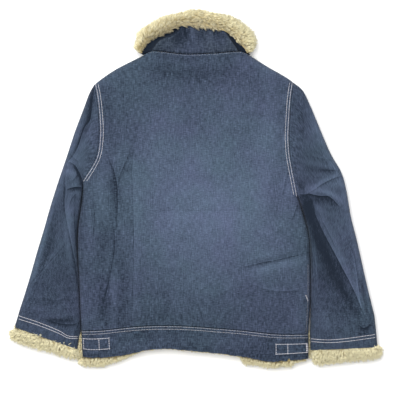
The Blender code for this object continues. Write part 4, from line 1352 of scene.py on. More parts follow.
def makePileMaterial():
    look = sherpaLook
    material, tree, surface = startMaterial("sherpaPile", look["roughness"], **{"Sheen Weight": 0.2})
    strand = remap(attribute(tree, "strandPlace"), 0.0, 0.75, 0.15, 0.95)
    tuft = (attribute(tree, "tuftTone") - 0.5) * look["tuftContrast"]
    uneven = unevenPlaces(tree, look["large"], look["small"])
    # pileShade paints light and shade into the pile's colour, and its deepest shade turns it to the
    # hidden colour
    tone = strand + tuft + attribute(tree, "pileShade") + uneven * look["unevenness"]
    hidden = remap(attribute(tree, "pileShade"), -0.15, -0.65, 0, 0.6)
    lit = mixColors(remap(tone, 0, 1), look["root"], look["tip"])
    feed(surface["Base Color"], mixColors(hidden, lit, look["hidden"]))
    return material


# a finish whose colour and relief are both uneven
def unevenFinish(name, look, **constants):
    material, tree, surface = startMaterial(name, look["roughness"], **constants)
    uneven = unevenPlaces(tree, look["large"], look["small"])
    feed(surface["Base Color"], mixColors(remap(uneven, *look["range"]), look["dark"], look["pale"]))
    addBump(tree, surface, look["bump"], look["bumpDepth"], uneven)
    return material, surface, uneven


sherpaPile = makePileMaterial()
sherpaBacking = unevenFinish("sherpaBacking", backingLook)[0]

tuftShape = {
    "kinds": 6,
    "strands": 9,
    "rootSpread": 0.40,
    "tipSpread": 0.24,
    "curl": 0.20,
    "radius": 0.115,
    "thickness": (0.75, 1.25),
    "height": (0.7, 1.05),
    "rings": ((0.0, 0.9), (0.6, 1.0)),  # places up a strand, and how thick it is there
}


# one small tuft of fine three-sided strands, a unit tall
def makeTuft(index):
    shape = tuftShape
    random = np.random.default_rng(40 + index)
    points, alongStrand, faces = [], [], []
    for strand in range(shape["strands"]):
        root = random.normal(0, shape["rootSpread"], 2)
        tip = root * 0.5 + random.normal(0, shape["tipSpread"], 2)
        curl = random.normal(0, shape["curl"], 2)
        height = random.uniform(*shape["height"])
        radius = shape["radius"] * random.uniform(*shape["thickness"])
        first = len(points)
        for t, width in shape["rings"]:
            middle = root + (tip - root) * t ** 1.5 + curl * math.sin(math.pi * 1.5 * t)
            for turn in range(3):
                angle = 2 * math.pi * turn / 3 + 1.3 * strand
                x, y = middle + radius * width * np.array([math.cos(angle), math.sin(angle)])
                points.append((x, y, height * t))
                alongStrand.append(t)
        points.append((*(tip + 0.5 * curl), height))
        alongStrand.append(1.0)
        faces.append((first + 2, first + 1, first))
        for turn in range(3):
            far = (turn + 1) % 3
            faces.append((first + turn, first + far, first + 3 + far, first + 3 + turn))
            faces.append((first + 3 + turn, first + 3 + far, first + 6))
    mesh = newMesh(f"tuft{index}", points, faces)
    storeOnPoints(mesh, "strandPlace", alongStrand)
    return bpy.data.objects.new(f"tuft{index}", mesh)


tufts = bpy.data.collections.new("tufts")
for tuftIndex in range(tuftShape["kinds"]):
    tufts.objects.link(makeTuft(tuftIndex))


# a tree that builds on its geometry, with the inputs that it is given
def buildingTree(name, inputs):
    inputs = {"Geometry": ("Geometry",), **inputs, "Material": ("Material",), "Seed": ("Int", 1)}
    return newGroup(name, inputs, {"Geometry": "Geometry"}, "GeometryNodeTree")


def named(tree, name, kind="FLOAT"):
    return addNode(tree, "GeometryNodeInputNamedAttribute", {"Name": name}, "Attribute", data_type=kind)


def randomNumber(seed, low, high):
    inputs = {2: low, 3: high, "Seed": seed}
    return addNode(seed.socket.id_data, "FunctionNodeRandomValue", inputs, 1, data_type="FLOAT")


# a direction that strays from another by up to an amount
def astray(direction, amount, seed):
    inputs = {"Min": (-1, -1, -1), "Max": (1, 1, 1), "Seed": seed}
    tree = direction.socket.id_data
    stray = addNode(tree, "FunctionNodeRandomValue", inputs, "Value", data_type="FLOAT_VECTOR")
    return vectorMath("ADD", direction, vectorMath("SCALE", stray, amount))


# the end of a tree: plain meshes in their material
def endTree(tree, given, result, copies):
    real = addNode(tree, "GeometryNodeRealizeInstances", {0: copies})
    inputs = {"Geometry": real, "Material": given["Material"]}
    feed(result["Geometry"], addNode(tree, "GeometryNodeSetMaterial", inputs))
    return tree


# stands tufts on a surface, each turned the way the pile lies there
def pileTree():
    inputs = {
        "Spacing": ("Float", 0.0036), "Spread": ("Float", 0.0042), "Unruliness": ("Float", 0.35),
        "Tufts": ("Collection",),
    }
    tree, given, result = buildingTree("standingPile", inputs)
    seed, spread = given["Seed"], given["Spread"]
    inputs = {
        "Mesh": given["Geometry"], "Distance Min": given["Spacing"], "Density Max": 3.0e5,
        "Density Factor": named(tree, "pileCover"), "Seed": seed,
    }
    points = addNode(
        tree, "GeometryNodeDistributePointsOnFaces", inputs, "Points", distribute_method="POISSON"
    )
    heading = astray(named(tree, "pileLie", "FLOAT_VECTOR"), given["Unruliness"], seed + 1.0)
    aimed = addNode(tree, "FunctionNodeAlignRotationToVector", {"Vector": heading}, axis="Z")
    spin = addNode(tree, "ShaderNodeCombineXYZ", {2: randomNumber(seed + 2.0, 0.0, 2 * math.pi)})
    spin = addNode(tree, "FunctionNodeEulerToRotation", {0: spin})
    turned = addNode(tree, "FunctionNodeRotateRotation", {0: aimed, 1: spin}, rotation_space="LOCAL")
    height = randomNumber(seed + 3.0, 0.78, 1.18) * named(tree, "pileLength")
    kinds = {"Collection": given["Tufts"], "Separate Children": True, "Reset Children": True}
    inputs = {
        "Points": points, "Rotation": turned, "Pick Instance": True,
        "Instance": addNode(tree, "GeometryNodeCollectionInfo", kinds),
        "Scale": addNode(tree, "ShaderNodeCombineXYZ", {0: spread, 1: spread, 2: height}),
    }
    stood = addNode(tree, "GeometryNodeInstanceOnPoints", inputs)
    inputs = {"Geometry": stood, "Name": "tuftTone", "Value": randomNumber(seed + 4.0, 0.0, 1.0)}
    toned = addNode(
        tree, "GeometryNodeStoreNamedAttribute", inputs, data_type="FLOAT", domain="INSTANCE"
    )
    return endTree(tree, given, result, toned)


# the plain mesh that a geometry tree makes from another, which is then removed
def settle(name, start, tree, values):
    host = addPiece(start.name, start)
    modifier = host.modifiers.new("build", "NODES")
    modifier.node_group = tree
    for item in tree.interface.items_tree:
        if item.in_out == "INPUT" and item.name in values:
            modifier[item.identifier] = values[item.name]
    bpy.context.view_layer.update()
    ready = host.evaluated_get(bpy.context.evaluated_depsgraph_get())
    mesh = bpy.data.meshes.new_from_object(ready)
    mesh.name = name
    host.modifiers.remove(modifier)
    piece = addPiece(name, mesh)
    bpy.data.objects.remove(host)
    return piece


standingPile = pileTree()


# the jacket's weight lays the lowest strands flat on the floor
def pressOnFloor(piece, level=3.0):
    spots = np.empty(3 * len(piece.data.vertices), np.float32)
    piece.data.vertices.foreach_get("co", spots)
    heights = spots[2::3] / mm
    pressed = np.where(heights < level, level * np.exp(np.minimum(0, heights - level) / level), heights)
    spots[2::3] = pressed * mm
    piece.data.vertices.foreach_set("co", spots)
    piece.data.update()


# a backing with pile on it; cover, length and shade are numbers or values at the grid's points
def makeSherpa(name, grid, size, seed, lie, cover, length, shade, tube=False):
    backing = makeShell(
        name + "Backing", grid, size["wall"], sherpaBacking, grid[..., :2], tube, fade=0.0
    )
    faces = gridFaces(*grid.shape[:2], tube)[1].tolist()
    skin = newMesh(name + "Skin", grid.reshape(-1, 3) * mm, faces, smooth=False)
    fields = {"pileCover": cover, "pileLength": np.multiply(length, mm), "pileShade": shade}
    for key, values in fields.items():
        storeOnPoints(skin, key, np.broadcast_to(values, grid.shape[:2]).ravel())
    storeOnPoints(skin, "pileLie", lie.reshape(-1, 3))
    values = {
        "Spacing": size["spacing"] * mm, "Spread": size["tuftSpread"] * mm,
        "Unruliness": size["unruliness"], "Tufts": tufts, "Material": sherpaPile, "Seed": seed,
    }
    pile = settle(name + "Pile", skin, standingPile, values)
    pressOnFloor(pile)
    return backing, pile


lockSize = 16


# how the pile lies: up off its backing, combed one way, and swirled in soft locks
def pileLie(grid, combed, lift, swirl, seed, tube=False):
    lie = lift * gridNormals(grid, tube) + combed
    for index in np.ndindex(grid.shape[:2]):
        x, y, z = grid[index]
        place = (x / lockSize, y / lockSize, z / lockSize + seed)
        lie[index] += swirl * np.array(noise.noise_vector(place))
    return unit(lie)


collarPile = {
    "length": 16.0,  # of the strands
    "inset": 10.5,  # of the backing inside the pile's reach
    "around": 560,
    "endRound": 16.0,
    "endSize": 0.35,  # of the roll at its ends, which it narrows to about its middle
    "middleShare": 0.4,
    "middleHeight": 17,
    "step": 3.6,
    "spacing": 2.8,
    "tuftSpread": 4.3,
    "unruliness": 0.15,
    "lift": 0.42,
    "swirl": 0.24,
    "wall": 1.6,
    "overDenim": (1.2, 2.6, 4.6),  # how far its last rows lie above the denim
    "topPlace": 0.52,  # of its top and its right side, from its left end to its right
    "topWidth": 0.20,
    "rightStart": 0.62,
    "rightWidth": 0.12,
    "combOut": 0.42,
    "combTop": -0.22,
    "combOver": -0.9,
    "combAlong": 0.9,
    "cover": 0.3,  # of its hidden underside
    "shade": 0.10,
    "shadeInside": 0.56,
    "shadeLeft": 0.18,
    # the rolled edge in section, from its underside out and over to the under-collar
    "section": [
        (0.15, 1.0), (0.50, 1.0), (0.78, 3.0), (0.95, 10.0), (1.00, 19.0), (0.97, 27.0),
        (0.86, 33.5), (0.66, 37.5), (0.42, 38.5), (0.20, 37.0), (0.06, 33.0), (-0.03, 29.5),
    ],
}


def makeCollarSherpa():
    size = collarPile
    across = places(size["around"], size["step"])
    inner, outer = along(collarInner, across), along(collarOuter, across)
    width = np.linalg.norm(outer - inner, axis=1)
    ends = quarterRoll(np.minimum(across, 1 - across) * size["around"], size["endRound"])
    full = size["endSize"] + (1 - size["endSize"]) * ends
    rows = []
    for outward, height in smoothLine(size["section"], 3):
        share = size["middleShare"] + (outward - size["middleShare"]) * full
        level = size["middleHeight"] + (height - size["middleHeight"]) * full
        reach = (share * np.maximum(width - size["inset"], 8) / width)[:, None]
        rows.append(addHeight((1 - reach) * inner + reach * outer, level))
    grid = np.array(rows)
    # over the under-collar the pile ends just above the denim
    foot = collarHeight(grid[-1, :, :2], 1.0)
    for back, lift in enumerate(size["overDenim"], 1):
        grid[-back, :, 2] = np.maximum(grid[-back, :, 2] * ends, foot + lift)
    outwards = unit(addHeight(outer - inner, 0 * width))[None]
    sideways = addHeight(unit(np.gradient(outer, axis=0)), 0 * width)[None]
    share = np.linspace(0, 1, len(grid))[:, None]
    # combed along the collar at its top, outwards at its sides, and over the denim's edge in the middle
    top = hump(across - size["topPlace"], size["topWidth"])
    rightSide = ease((across - size["rightStart"]) / size["rightWidth"])
    out = size["combOut"] + size["combTop"] * top + size["combOver"] * top * share ** 2
    turned = 0.70 - 0.45 * ease((across - 0.4) / 0.3) - 0.35 * ease((across - 0.87) / 0.08)
    sidewards = size["combAlong"] * top + turned * (1 - top)
    combed = outwards * out[..., None] + sidewards[:, None] * sideways
    lie = pileLie(grid, combed, size["lift"] * (1 - 0.3 * top)[:, None], size["swirl"], 3.0)
    # a ragged fringe over the denim
    ragged = np.array([noise.noise((place * 90, 4.0, 0.0)) for place in across])
    ragged = np.clip(0.45 + 1.6 * ragged, 0, 1.3) * ends * (1 - 0.95 * rightSide)
    lie[-4:] = unit(lie[-4:] - ragged[None, :, None] * outwards)
    cover = np.ones(grid.shape[:2])
    cover[:4] = size["cover"]
    cover[-4:] = 1 - 0.35 * (1 - top)
    cover[-2:] *= 1 - 0.85 * rightSide
    length = np.full(grid.shape[:2], size["length"])
    length[-5:] *= 1 - 0.45 * (1 - top) - 0.10 * rightSide
    length *= 0.55 + 0.45 * ends
    # painted shade on its inner side and on the end that lies to the left, and painted light on its
    # right end
    inside = ease((share - 0.46 + 0.10 * top) / 0.6)
    shade = size["shade"] - (size["shadeInside"] + 0.10 * top) * inside
    shade = shade - size["shadeLeft"] * hump(across - 0.24, 0.18) + 0.10 * ease((across - 0.68) / 0.15)
    return makeSherpa("collarSherpa", grid, size, 5, lie, cover, length, shade)


collarSherpa = makeCollarSherpa()
print("collar pile made")

hemPile = {
    # how far the lining hangs below the hem, from the jacket's left to its right as it lies
    "reach": [
        (0.00, 13), (0.04, 22), (0.11, 22.5), (0.15, 16), (0.19, 10.5), (0.225, 5), (0.26, 0.6),
        (0.40, 0.4), (0.50, 1.4), (0.60, 1.0), (0.695, 1.6), (0.72, 20), (0.78, 14.5), (0.83, 17),
        (0.88, 13), (0.905, 18), (0.93, 8), (0.96, 5), (1.00, 6),
    ],
    "inset": 9.0,
    "flareLeft": 20.0,  # how far it bulges past the hem's ends
    "flareRight": 9.0,
    "fullReach": 12.0,
    "middle": 14.2,
    "half": 9.0,
    "halfInside": 6.0,
    "endRound": 12,
    "length": 12.5,
    "shortest": 2.6,
    "step": 4.0,
    "width": 480,
    "wall": 1.4,
    "spacing": 2.9,
    "tuftSpread": 4.3,
    "unruliness": 0.22,
    "tucked": (14, 8, 3),  # rows inside the band, above and below
    "bends": 12,
    "waverSize": 22,
    "waver": 1.5,
    "comb": (0.0, -0.9, 0.0),
    "splay": 0.9,
    "lift": 0.62,
    "swirl": 0.5,
    "shade": 0.40,
    "shadeInside": 0.5,
}


def makeHemSherpa():
    size = hemPile
    across = places(bandShape["length"], size["step"])
    shown = 0.5 + (across - 0.5) * (1 - 2 * size["inset"] / bandShape["length"])
    x, y = along(hemLine, shown).T
    reach = np.interp(shown, *np.array(size["reach"], float).T)
    length = np.clip(0.9 * reach + 1.8, size["shortest"], size["length"])
    lip = reach - 0.4 - 0.85 * length
    share = np.minimum(1, reach / size["fullReach"])
    half = size["halfInside"] + (size["half"] - size["halfInside"]) * share
    ends = quarterRoll(np.minimum(across, 1 - across) * size["width"], size["endRound"])
    half = half * (0.2 + 0.8 * ends)
    waver = np.array([noise.noise((place / size["waverSize"], 1.0, 0.0)) for place in x])
    flare = np.where(shown < 0.5, size["flareLeft"], size["flareRight"])
    rows = [(x, y + inside, size["middle"] + half) for inside in size["tucked"]]
    for angle in np.linspace(0, math.pi, size["bends"]):
        past = math.sin(angle)
        rows.append((
            x + share * flare * past * (2 * shown - 1) ** 3,
            y - 1.5 - past * (lip + size["waver"] * waver * share),
            size["middle"] + half * math.cos(angle),
        ))
    rows += [(x, y + inside, size["middle"] - half) for inside in size["tucked"][::-1]]
    grid = np.array([np.stack(row, -1) for row in rows])
    splay = (size["splay"] * (shown - 0.5))[None, :, None] ** 3
    combed = np.array(size["comb"]) + np.array([1.0, 0, 0]) * splay
    lie = pileLie(grid, combed, size["lift"], size["swirl"], 8.0)
    row = np.arange(len(grid))[:, None]
    cover = (row > 2) & (row < len(grid) - 3)
    # painted light on the pile below the hem, and painted shade next to the denim
    shade = size["shade"] - size["shadeInside"] * ease((7.0 - row) / 4)
    return makeSherpa("hemSherpa", grid, size, 15, lie, cover, length, shade)


# the lining's edges also show low down between the hem's ends and the cuffs
sideTuft = {
    "left": [(-255, -316), (-256, -342), (-255, -374)],
    "right": [(254, -314), (255, -345), (254, -372)],
    "wideLeft": 4.4,
    "wideRight": 3.0,
    "height": 9.0,
    "thickness": 1.6,
    "endRound": 6.0,
    "sides": 8,
    "length": 7.0,
    "comb": (0.0, -0.5, 0.2),
    "lift": 0.5,
    "swirl": 0.4,
    # painted light, where this pile lies in the shade between the sleeve and the body
    "shade": 0.5,
    "wall": 0.5,
    "spacing": 2.4,
    "tuftSpread": 3.0,
    "unruliness": 0.22,
}


def makeSideSherpa(name, path, halfWidth, seed):
    size = sideTuft
    middle = pointsOn(smoothLine(path))
    angles = np.linspace(0, 2 * math.pi, size["sides"] + 1)[:-1]
    row = np.arange(len(middle))
    ends = quarterRoll(np.minimum(row, row[::-1]) * lineStep, size["endRound"])
    wide = halfWidth * (0.15 + 0.85 * ends)[:, None]
    x, y = middle.T[..., None]
    height = size["height"] + size["thickness"] * wide * np.sin(angles)
    grid = np.stack(np.broadcast_arrays(x - wide * np.cos(angles), y, height), -1)
    lie = pileLie(grid, np.array(size["comb"]), size["lift"], size["swirl"], seed, tube=True)
    return makeSherpa(name, grid, size, seed, lie, 1.0, size["length"], size["shade"], tube=True)


hemSherpa = makeHemSherpa()
sideSherpa = [
    makeSideSherpa("sideLeftSherpa", sideTuft["left"], sideTuft["wideLeft"], 41),
    makeSideSherpa("sideRightSherpa", sideTuft["right"], sideTuft["wideRight"], 43),
]
print("hem pile made")

# past each cuff: the x and y of a section's outer and inner ends, and how thick it is
cuffPile = {
    "left": [
        (-404, -310, -260, -357, 17.0),
        (-412, -319, -257, -364, 16.0),
        (-410, -331, -256, -376, 12.0),
        (-403, -339, -261, -382, 5.0),
    ],
    "right": [
        (407, -347, 257, -360, 17.0),
        (413, -358, 256, -369, 17.0),
        (410, -371, 256, -383, 13.0),
        (402, -377, 257, -393, 5.0),
    ],
    "inside": (0.945, 0.975, 0.998),  # fractions of the sleeve where it starts
    "insideRise": 13.0,
    "inset": 8.5,
    "length": 13.0,
    "endRound": 14,
    "step": 4.0,
    "width": 150,
    "comb": 0.85,
    "fan": (0.35, 0.35, 0.1),
    "curlBack": 3.4,
    "lift": 0.62,
    "swirl": 0.38,
    "shade": 0.36,
    "shadeInside": 0.35,
    "wall": 1.2,
    "spacing": 2.9,
    "tuftSpread": 4.3,
    "unruliness": 0.22,
}


def makeCuffSherpa(name, sleeve, sections, seed):
    size = cuffPile
    across = places(size["width"], size["step"])
    outer, inner, _ = sleeveEdges(sleeve, np.array(size["inside"]))
    rings = np.column_stack([outer, inner, [size["insideRise"]] * len(outer)])
    sectionRows = np.vstack([rings[:-1], smoothLine([rings[-1], *sections], 4)])
    first, last = rings[0], np.array(sections[-1])
    down = unit(0.5 * (last[:2] + last[2:4] - first[:2] - first[2:4]))
    loops = []
    for index, section in enumerate(sectionRows):
        outer, inner = section[:2], section[2:4]
        middle = 0.5 * (outer + inner)
        halfWidth = 0.5 * np.linalg.norm(inner - outer)
        past = max(0, index - 2) / (len(sectionRows) - 3)
        kept = 1 - (size["inset"] - 1.5 * (1 - past)) / halfWidth
        pulled = down * 0.8 * size["length"] * past ** 1.5
        straight = (1 - across)[:, None] * outer + across[:, None] * inner
        spots = middle - pulled + kept * (straight - middle)
        edge = np.minimum(across, 1 - across) * (2 * halfWidth * kept) + 0.6
        rise = max(2.0, section[4] - 7) * quarterRoll(edge, size["endRound"])
        upper, lower = addHeight(spots, laid["middle"] + rise), addHeight(spots, laid["middle"] - rise)
        loops.append(np.concatenate([upper, lower[::-1][1:-1]]))
    closing = loops[-1].copy()
    closing[:, 2] = laid["middle"] + 0.25 * (closing[:, 2] - laid["middle"])
    closing[:, :2] += 1.5 * down
    grid = np.array([*loops, closing])
    if sleeve.sign > 0:
        grid = grid[:, ::-1]
    down = np.array([*down, 0.0])
    fan = unit(grid - grid.mean(axis=1, keepdims=True)) * np.array(size["fan"])
    lie = pileLie(grid, down * size["comb"] + fan, size["lift"], size["swirl"], seed, tube=True)
    # here and there a lock curls back over the cuff's edge
    for row, column in np.ndindex(2, grid.shape[1]):
        x, y = grid[row + 3, column, :2]
        back = max(0.0, 0.12 + noise.noise((x / 7, y / 7, seed)))
        lie[row + 3, column] -= size["curlBack"] * back * down
    row = np.arange(len(grid))[:, None]
    length = np.where(row < 3, 0.75 * size["length"], size["length"])
    # painted light on the pile past the cuff, and painted shade next to the denim
    shade = size["shade"] - size["shadeInside"] * ease((5.0 - row) / 3)
    return makeSherpa(name, grid, size, seed, unit(lie), row > 1, length, shade, tube=True)


cuffSherpa = [
    makeCuffSherpa("cuffLeftSherpa", sleeves[0], cuffPile["left"], 22),
    makeCuffSherpa("cuffRightSherpa", sleeves[1], cuffPile["right"], 29),
]
print("cuff piles made")

# double rows of topstitching along the seams
threadLook = {
    "dark": (0.37, 0.36, 0.41, 1),
    "pale": (0.71, 0.69, 0.72, 1),
    "roughness": 0.7,
    "large": 14.0,
    "small": 1.2,
    "range": (-0.35, 0.35, 0.2, 1),
    "bump": 0.4,
    "bumpDepth": 0.0003,
}
sewingThread = unevenFinish("sewingThread", threadLook, **{"Sheen Weight": 0.3})[0]
stitchShape = {
    "pitch": 3.4,
    "length": 2.9,
    "width": 1.45,
    "height": 0.9,
    "sides": 6,
    "longestGap": 6,  # between points of a row that are still joined
    # places along one stitch, and how thick it is there
    "rings": ((-0.5, 0.35), (-0.32, 0.95), (0.32, 0.95), (0.5, 0.35)),
}


# faces between rings of points that follow each other
def ringFaces(rings, sides, first=0):
    faces = []
    for ring, turn in np.ndindex(rings - 1, sides):
        near, far = first + ring * sides, (turn + 1) % sides
        faces.append((near + turn, near + far, near + sides + far, near + sides + turn))
    return faces


def makeOneStitch():
    shape, sides = stitchShape, stitchShape["sides"]
    points = []
    for x, thick in shape["rings"]:
        for turn in range(sides):
            angle = 2 * math.pi * turn / sides
            y = 0.5 * thick * math.cos(angle) * shape["width"]
            z = 0.5 * thick * math.sin(angle) * shape["height"]
            points.append((x * shape["length"] * mm, y * mm, z * mm))
    rings = len(shape["rings"])
    ends = [tuple(range(sides))[::-1], tuple(range((rings - 1) * sides, rings * sides))]
    mesh = newMesh("oneStitch", points, ringFaces(rings, sides) + ends)
    return bpy.data.objects.new("oneStitch", mesh)


def stitchTree():
    inputs = {"Pitch": ("Float", 0.0034), "Looseness": ("Float", 0.12), "Stitch": ("Object",)}
    tree, given, result = buildingTree("sewnRows", inputs)
    curve = addNode(tree, "GeometryNodeMeshToCurve", {"Mesh": given["Geometry"]})
    inputs = {"Curve": curve, "Length": given["Pitch"]}
    evenly = addNode(tree, "GeometryNodeResampleCurve", inputs, mode="LENGTH")
    heading = astray(addNode(tree, "GeometryNodeInputTangent"), given["Looseness"], given["Seed"])
    aimed = addNode(tree, "FunctionNodeAlignRotationToVector", {"Vector": heading}, axis="X")
    inputs = {"Rotation": aimed, "Vector": named(tree, "outward", "FLOAT_VECTOR")}
    settled = addNode(tree, "FunctionNodeAlignRotationToVector", inputs, axis="Z", pivot_axis="X")
    thick = named(tree, "threadSize")
    size = {0: randomNumber(given["Seed"] + 1.0, 0.88, 1.08), 1: thick, 2: thick}
    inputs = {
        "Points": evenly, "Rotation": settled, "Scale": addNode(tree, "ShaderNodeCombineXYZ", size),
        "Instance": addNode(tree, "GeometryNodeObjectInfo", {"Object": given["Stitch"]}, "Geometry"),
    }
    return endTree(tree, given, result, addNode(tree, "GeometryNodeInstanceOnPoints", inputs))


# a line beside another, to its left where the offset is positive
def beside(line, offset, start=0.0, end=1.0):
    heading = unit(np.gradient(line, axis=0))
    return pointsOn(line + offset * np.stack([-heading[:, 1], heading[:, 0]], -1), start, end)


# places where rows meet the cloth, cast down on to it or up from beneath
def onCloth(piece, spots, beneath=False, lift=0.25):
    found = []
    for x, y in spots:
        origin = (x * mm, y * mm, -0.05 if beneath else 0.1)
        hit, place, normal, _ = piece.ray_cast(origin, (0, 0, 1 if beneath else -1))
        if hit:
            found.append((np.array(place) + lift * mm * np.array(normal), np.array(normal)))
    return found


# each row: the piece it is sewn on, whether that faces the floor, its line, and the thread's size
Row = namedtuple("Row", "piece beneath line size")
seamSewing = {
    # each row's offset from its seam, and the fractions of it where it starts and ends
    "armhole": ((3.2, 0.004, 0.985), (8.7, 0.012, 0.965)),
    "armholeThread": 0.62,
    "waist": ((-2.9, 0.006, 0.994), (-8.4, 0.006, 0.994)),
    "waistThread": 0.38,
    "neck": (-1.9, 0.05, 0.95),
    "neckThread": 0.1,
    "side": (-6.0, 0.50, 0.99),
    "sideThread": 0.2,
    "lapOffsets": (0.006, 0.075),  # as fractions of the body's width
    "lapThread": 0.95,
}


def seamRows():
    size = seamSewing
    rows = []
    for seam, turn, front in ((armholeLeft, 1, frontPieces[0]), (armholeRight, -1, frontPieces[1])):
        for offset, *ends in size["armhole"]:
            line = beside(seam, turn * offset, *ends)
            for piece in (backPiece, front):
                rows.append(Row(piece, piece is front, line, size["armholeThread"]))
    for place in size["waist"]:
        line = beside(waistLine, *place)
        for piece in bandPieces:
            rows.append(Row(piece, piece is not bandPieces[0], line, size["waistThread"]))
    rows.append(Row(backPiece, False, beside(neckLine, *size["neck"]), size["neckThread"]))
    rows.append(Row(backPiece, False, beside(sideRight, *size["side"]), size["sideThread"]))
    down = np.linspace(0.04, 0.99, 300)
    for offset in size["lapOffsets"]:
        line = bodyGrid(np.array([0.0, frontShape["lapEnd"] - offset, 1.0]), down, down)[:, 1]
        rows.append(Row(frontPieces[0], True, line, size["lapThread"]))
    return rows


cuffRows = {
    "left": [
        [(-388, -280.5), (-344, -295), (-301, -312.5), (-281, -324), (-261, -326)],
        [(-388, -287.5), (-344, -301.5), (-301, -318.5), (-281, -328.5), (-261, -330)],
    ],
    "right": [
        [(256, -331), (296, -333), (340, -329), (394, -321.5)],
        [(256, -337), (296, -339), (340, -335.5), (394, -328)],
    ],
}
cuffThread = 0.76


def sleeveRows():
    rows = []
    for piece, label in zip(sleevePieces, cuffRows):
        for spots in cuffRows[label]:
            line = pointsOn(smoothLine(spots))
            rows += [Row(piece, False, line, cuffThread), Row(piece, True, line, cuffThread)]
    return rows


# a box of stitches round each tab, with a row across it
def boxRows():
    shape, margin = tabShape, tabShape["margin"]
    inset = margin / bandShape["depth"]
    (topLeft, bottomLeft), (topRight, bottomRight) = [
        (top + inset, bottom - inset) for top, bottom in (shape["rowsLeft"], shape["rowsRight"])
    ]
    downs = np.linspace(0, 1, 14)
    left = topLeft + (bottomLeft - topLeft) * downs
    right = topRight + (bottomRight - topRight) * downs
    rows = []
    for piece, tab in zip(tabPieces, tabs):
        ends = fromEnd([shape["start"] + margin, tab.divider, tab.length - margin], tab.leftEnd)
        across = np.linspace(ends[0], ends[2], 30)
        box = bandGrid(across, np.array([topLeft, bottomLeft]), np.array([topRight, bottomRight]))
        lines = [*box] + [bandGrid(np.array([end, end]), left, right)[:, 0] for end in ends]
        rows += [Row(piece, False, line - (0, laid["waistGap"]), shape["thread"]) for line in lines]
    return rows


# short dense tacks: on the right tab's end and under the right arm
tacks = [(tabPieces[1], (245, -344), (246, -360), 5), (backPiece, (243, -236), (247, -246), 2)]
tackShape = {"apart": 0.9, "points": 8, "thread": 0.55}


def tackRows():
    rows = []
    for piece, start, end, count in tacks:
        start, end = np.array(start, float), np.array(end, float)
        side = unit(end - start)[::-1] * (1, -1)
        for index in range(count):
            shift = side * (index - (count - 1) / 2) * tackShape["apart"]
            line = np.linspace(start + shift, end + shift, tackShape["points"])
            rows.append(Row(piece, False, line, tackShape["thread"]))
    return rows


def makeStitching():
    bpy.context.view_layer.update()
    points, edges, outward, sizes = [], [], [], []
    for row in seamRows() + sleeveRows() + boxRows() + tackRows():
        for index, (place, normal) in enumerate(onCloth(row.piece, row.line, row.beneath)):
            if index and np.linalg.norm(place - points[-1]) < stitchShape["longestGap"] * mm:
                edges.append((len(points) - 1, len(points)))
            points.append(place)
            outward.append(normal)
            sizes.append(row.size)
    mesh = newMesh("stitchRows", points, [], edges, smooth=False)
    storeOnPoints(mesh, "threadSize", sizes)
    storeOnPoints(mesh, "outward", outward)
    values = {
        "Pitch": stitchShape["pitch"] * mm, "Stitch": makeOneStitch(),
        "Material": sewingThread, "Seed": 3,
    }
    return settle("seamStitching", mesh, stitchTree(), values)


stitching = makeStitching()
print("stitching made:", len(stitching.data.polygons) // 20, "stitches")

# buttons: rimmed metal discs that face the floor
buttonShape = {
    "count": 6,
    "sides": 40,
    # radius and height of the turned profile, from the middle of its face out to its back
    "profile": [
        (0.0, 0.42), (1.1, 0.36), (2.0, 0.42), (2.5, 0.62), (3.0, 0.74), (5.2, 0.70), (5.9, 0.52),
        (6.5, 0.16), (7.2, 0.0), (7.9, 0.05), (8.4, 0.35), (8.5, 0.8), (8.3, 1.2), (7.7, 1.5),
        (4.0, 1.5), (0.0, 1.5),
    ],
}
metalLook = {
    "dark": (0.16, 0.11, 0.06, 1),  # where it is tarnished
    "pale": (0.55, 0.40, 0.20, 1),
    "roughness": 0.42,
    "large": 7.0,
    "small": 1.6,
    "range": (-0.3, 0.25, 0, 1),
    "bump": 0.25,
    "bumpDepth": 0.0002,
    "roughnessRange": (-0.3, 0.3, 0.62, 0.3),
    "metallicRange": (-0.4, 0.0, 0.75, 1.0),
}


def makeMetal():
    material, surface, uneven = unevenFinish("agedBrass", metalLook)
    feed(surface["Roughness"], remap(uneven, *metalLook["roughnessRange"]))
    feed(surface["Metallic"], remap(uneven, *metalLook["metallicRange"]))
    return material


agedBrass = makeMetal()


def makeButton(index):
    low, high = [np.array(corner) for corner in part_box(f"button_{index}")]
    x, y, _ = 0.5 * (low + high)
    sides = buttonShape["sides"]
    (_, face), *rings, (_, back) = buttonShape["profile"]
    points = [(x, y, low[2] + face * mm)]
    for radius, height in rings:
        for turn in range(sides):
            angle = 2 * math.pi * turn / sides
            around = radius * mm * np.array([math.cos(angle), math.sin(angle)])
            points.append((x + around[0], y + around[1], low[2] + height * mm))
    points.append((x, y, low[2] + back * mm))
    last = 1 + (len(rings) - 1) * sides
    faces = ringFaces(len(rings), sides, 1)
    for turn in range(sides):
        far = (turn + 1) % sides
        faces += [(0, 1 + far, 1 + turn), (len(points) - 1, last + turn, last + far)]
    name = f"tackButton{index}"
    return addPiece(name, newMesh(name, points, faces, material=agedBrass))


buttonPieces = [makeButton(index + 1) for index in range(buttonShape["count"])]
print("buttons made")


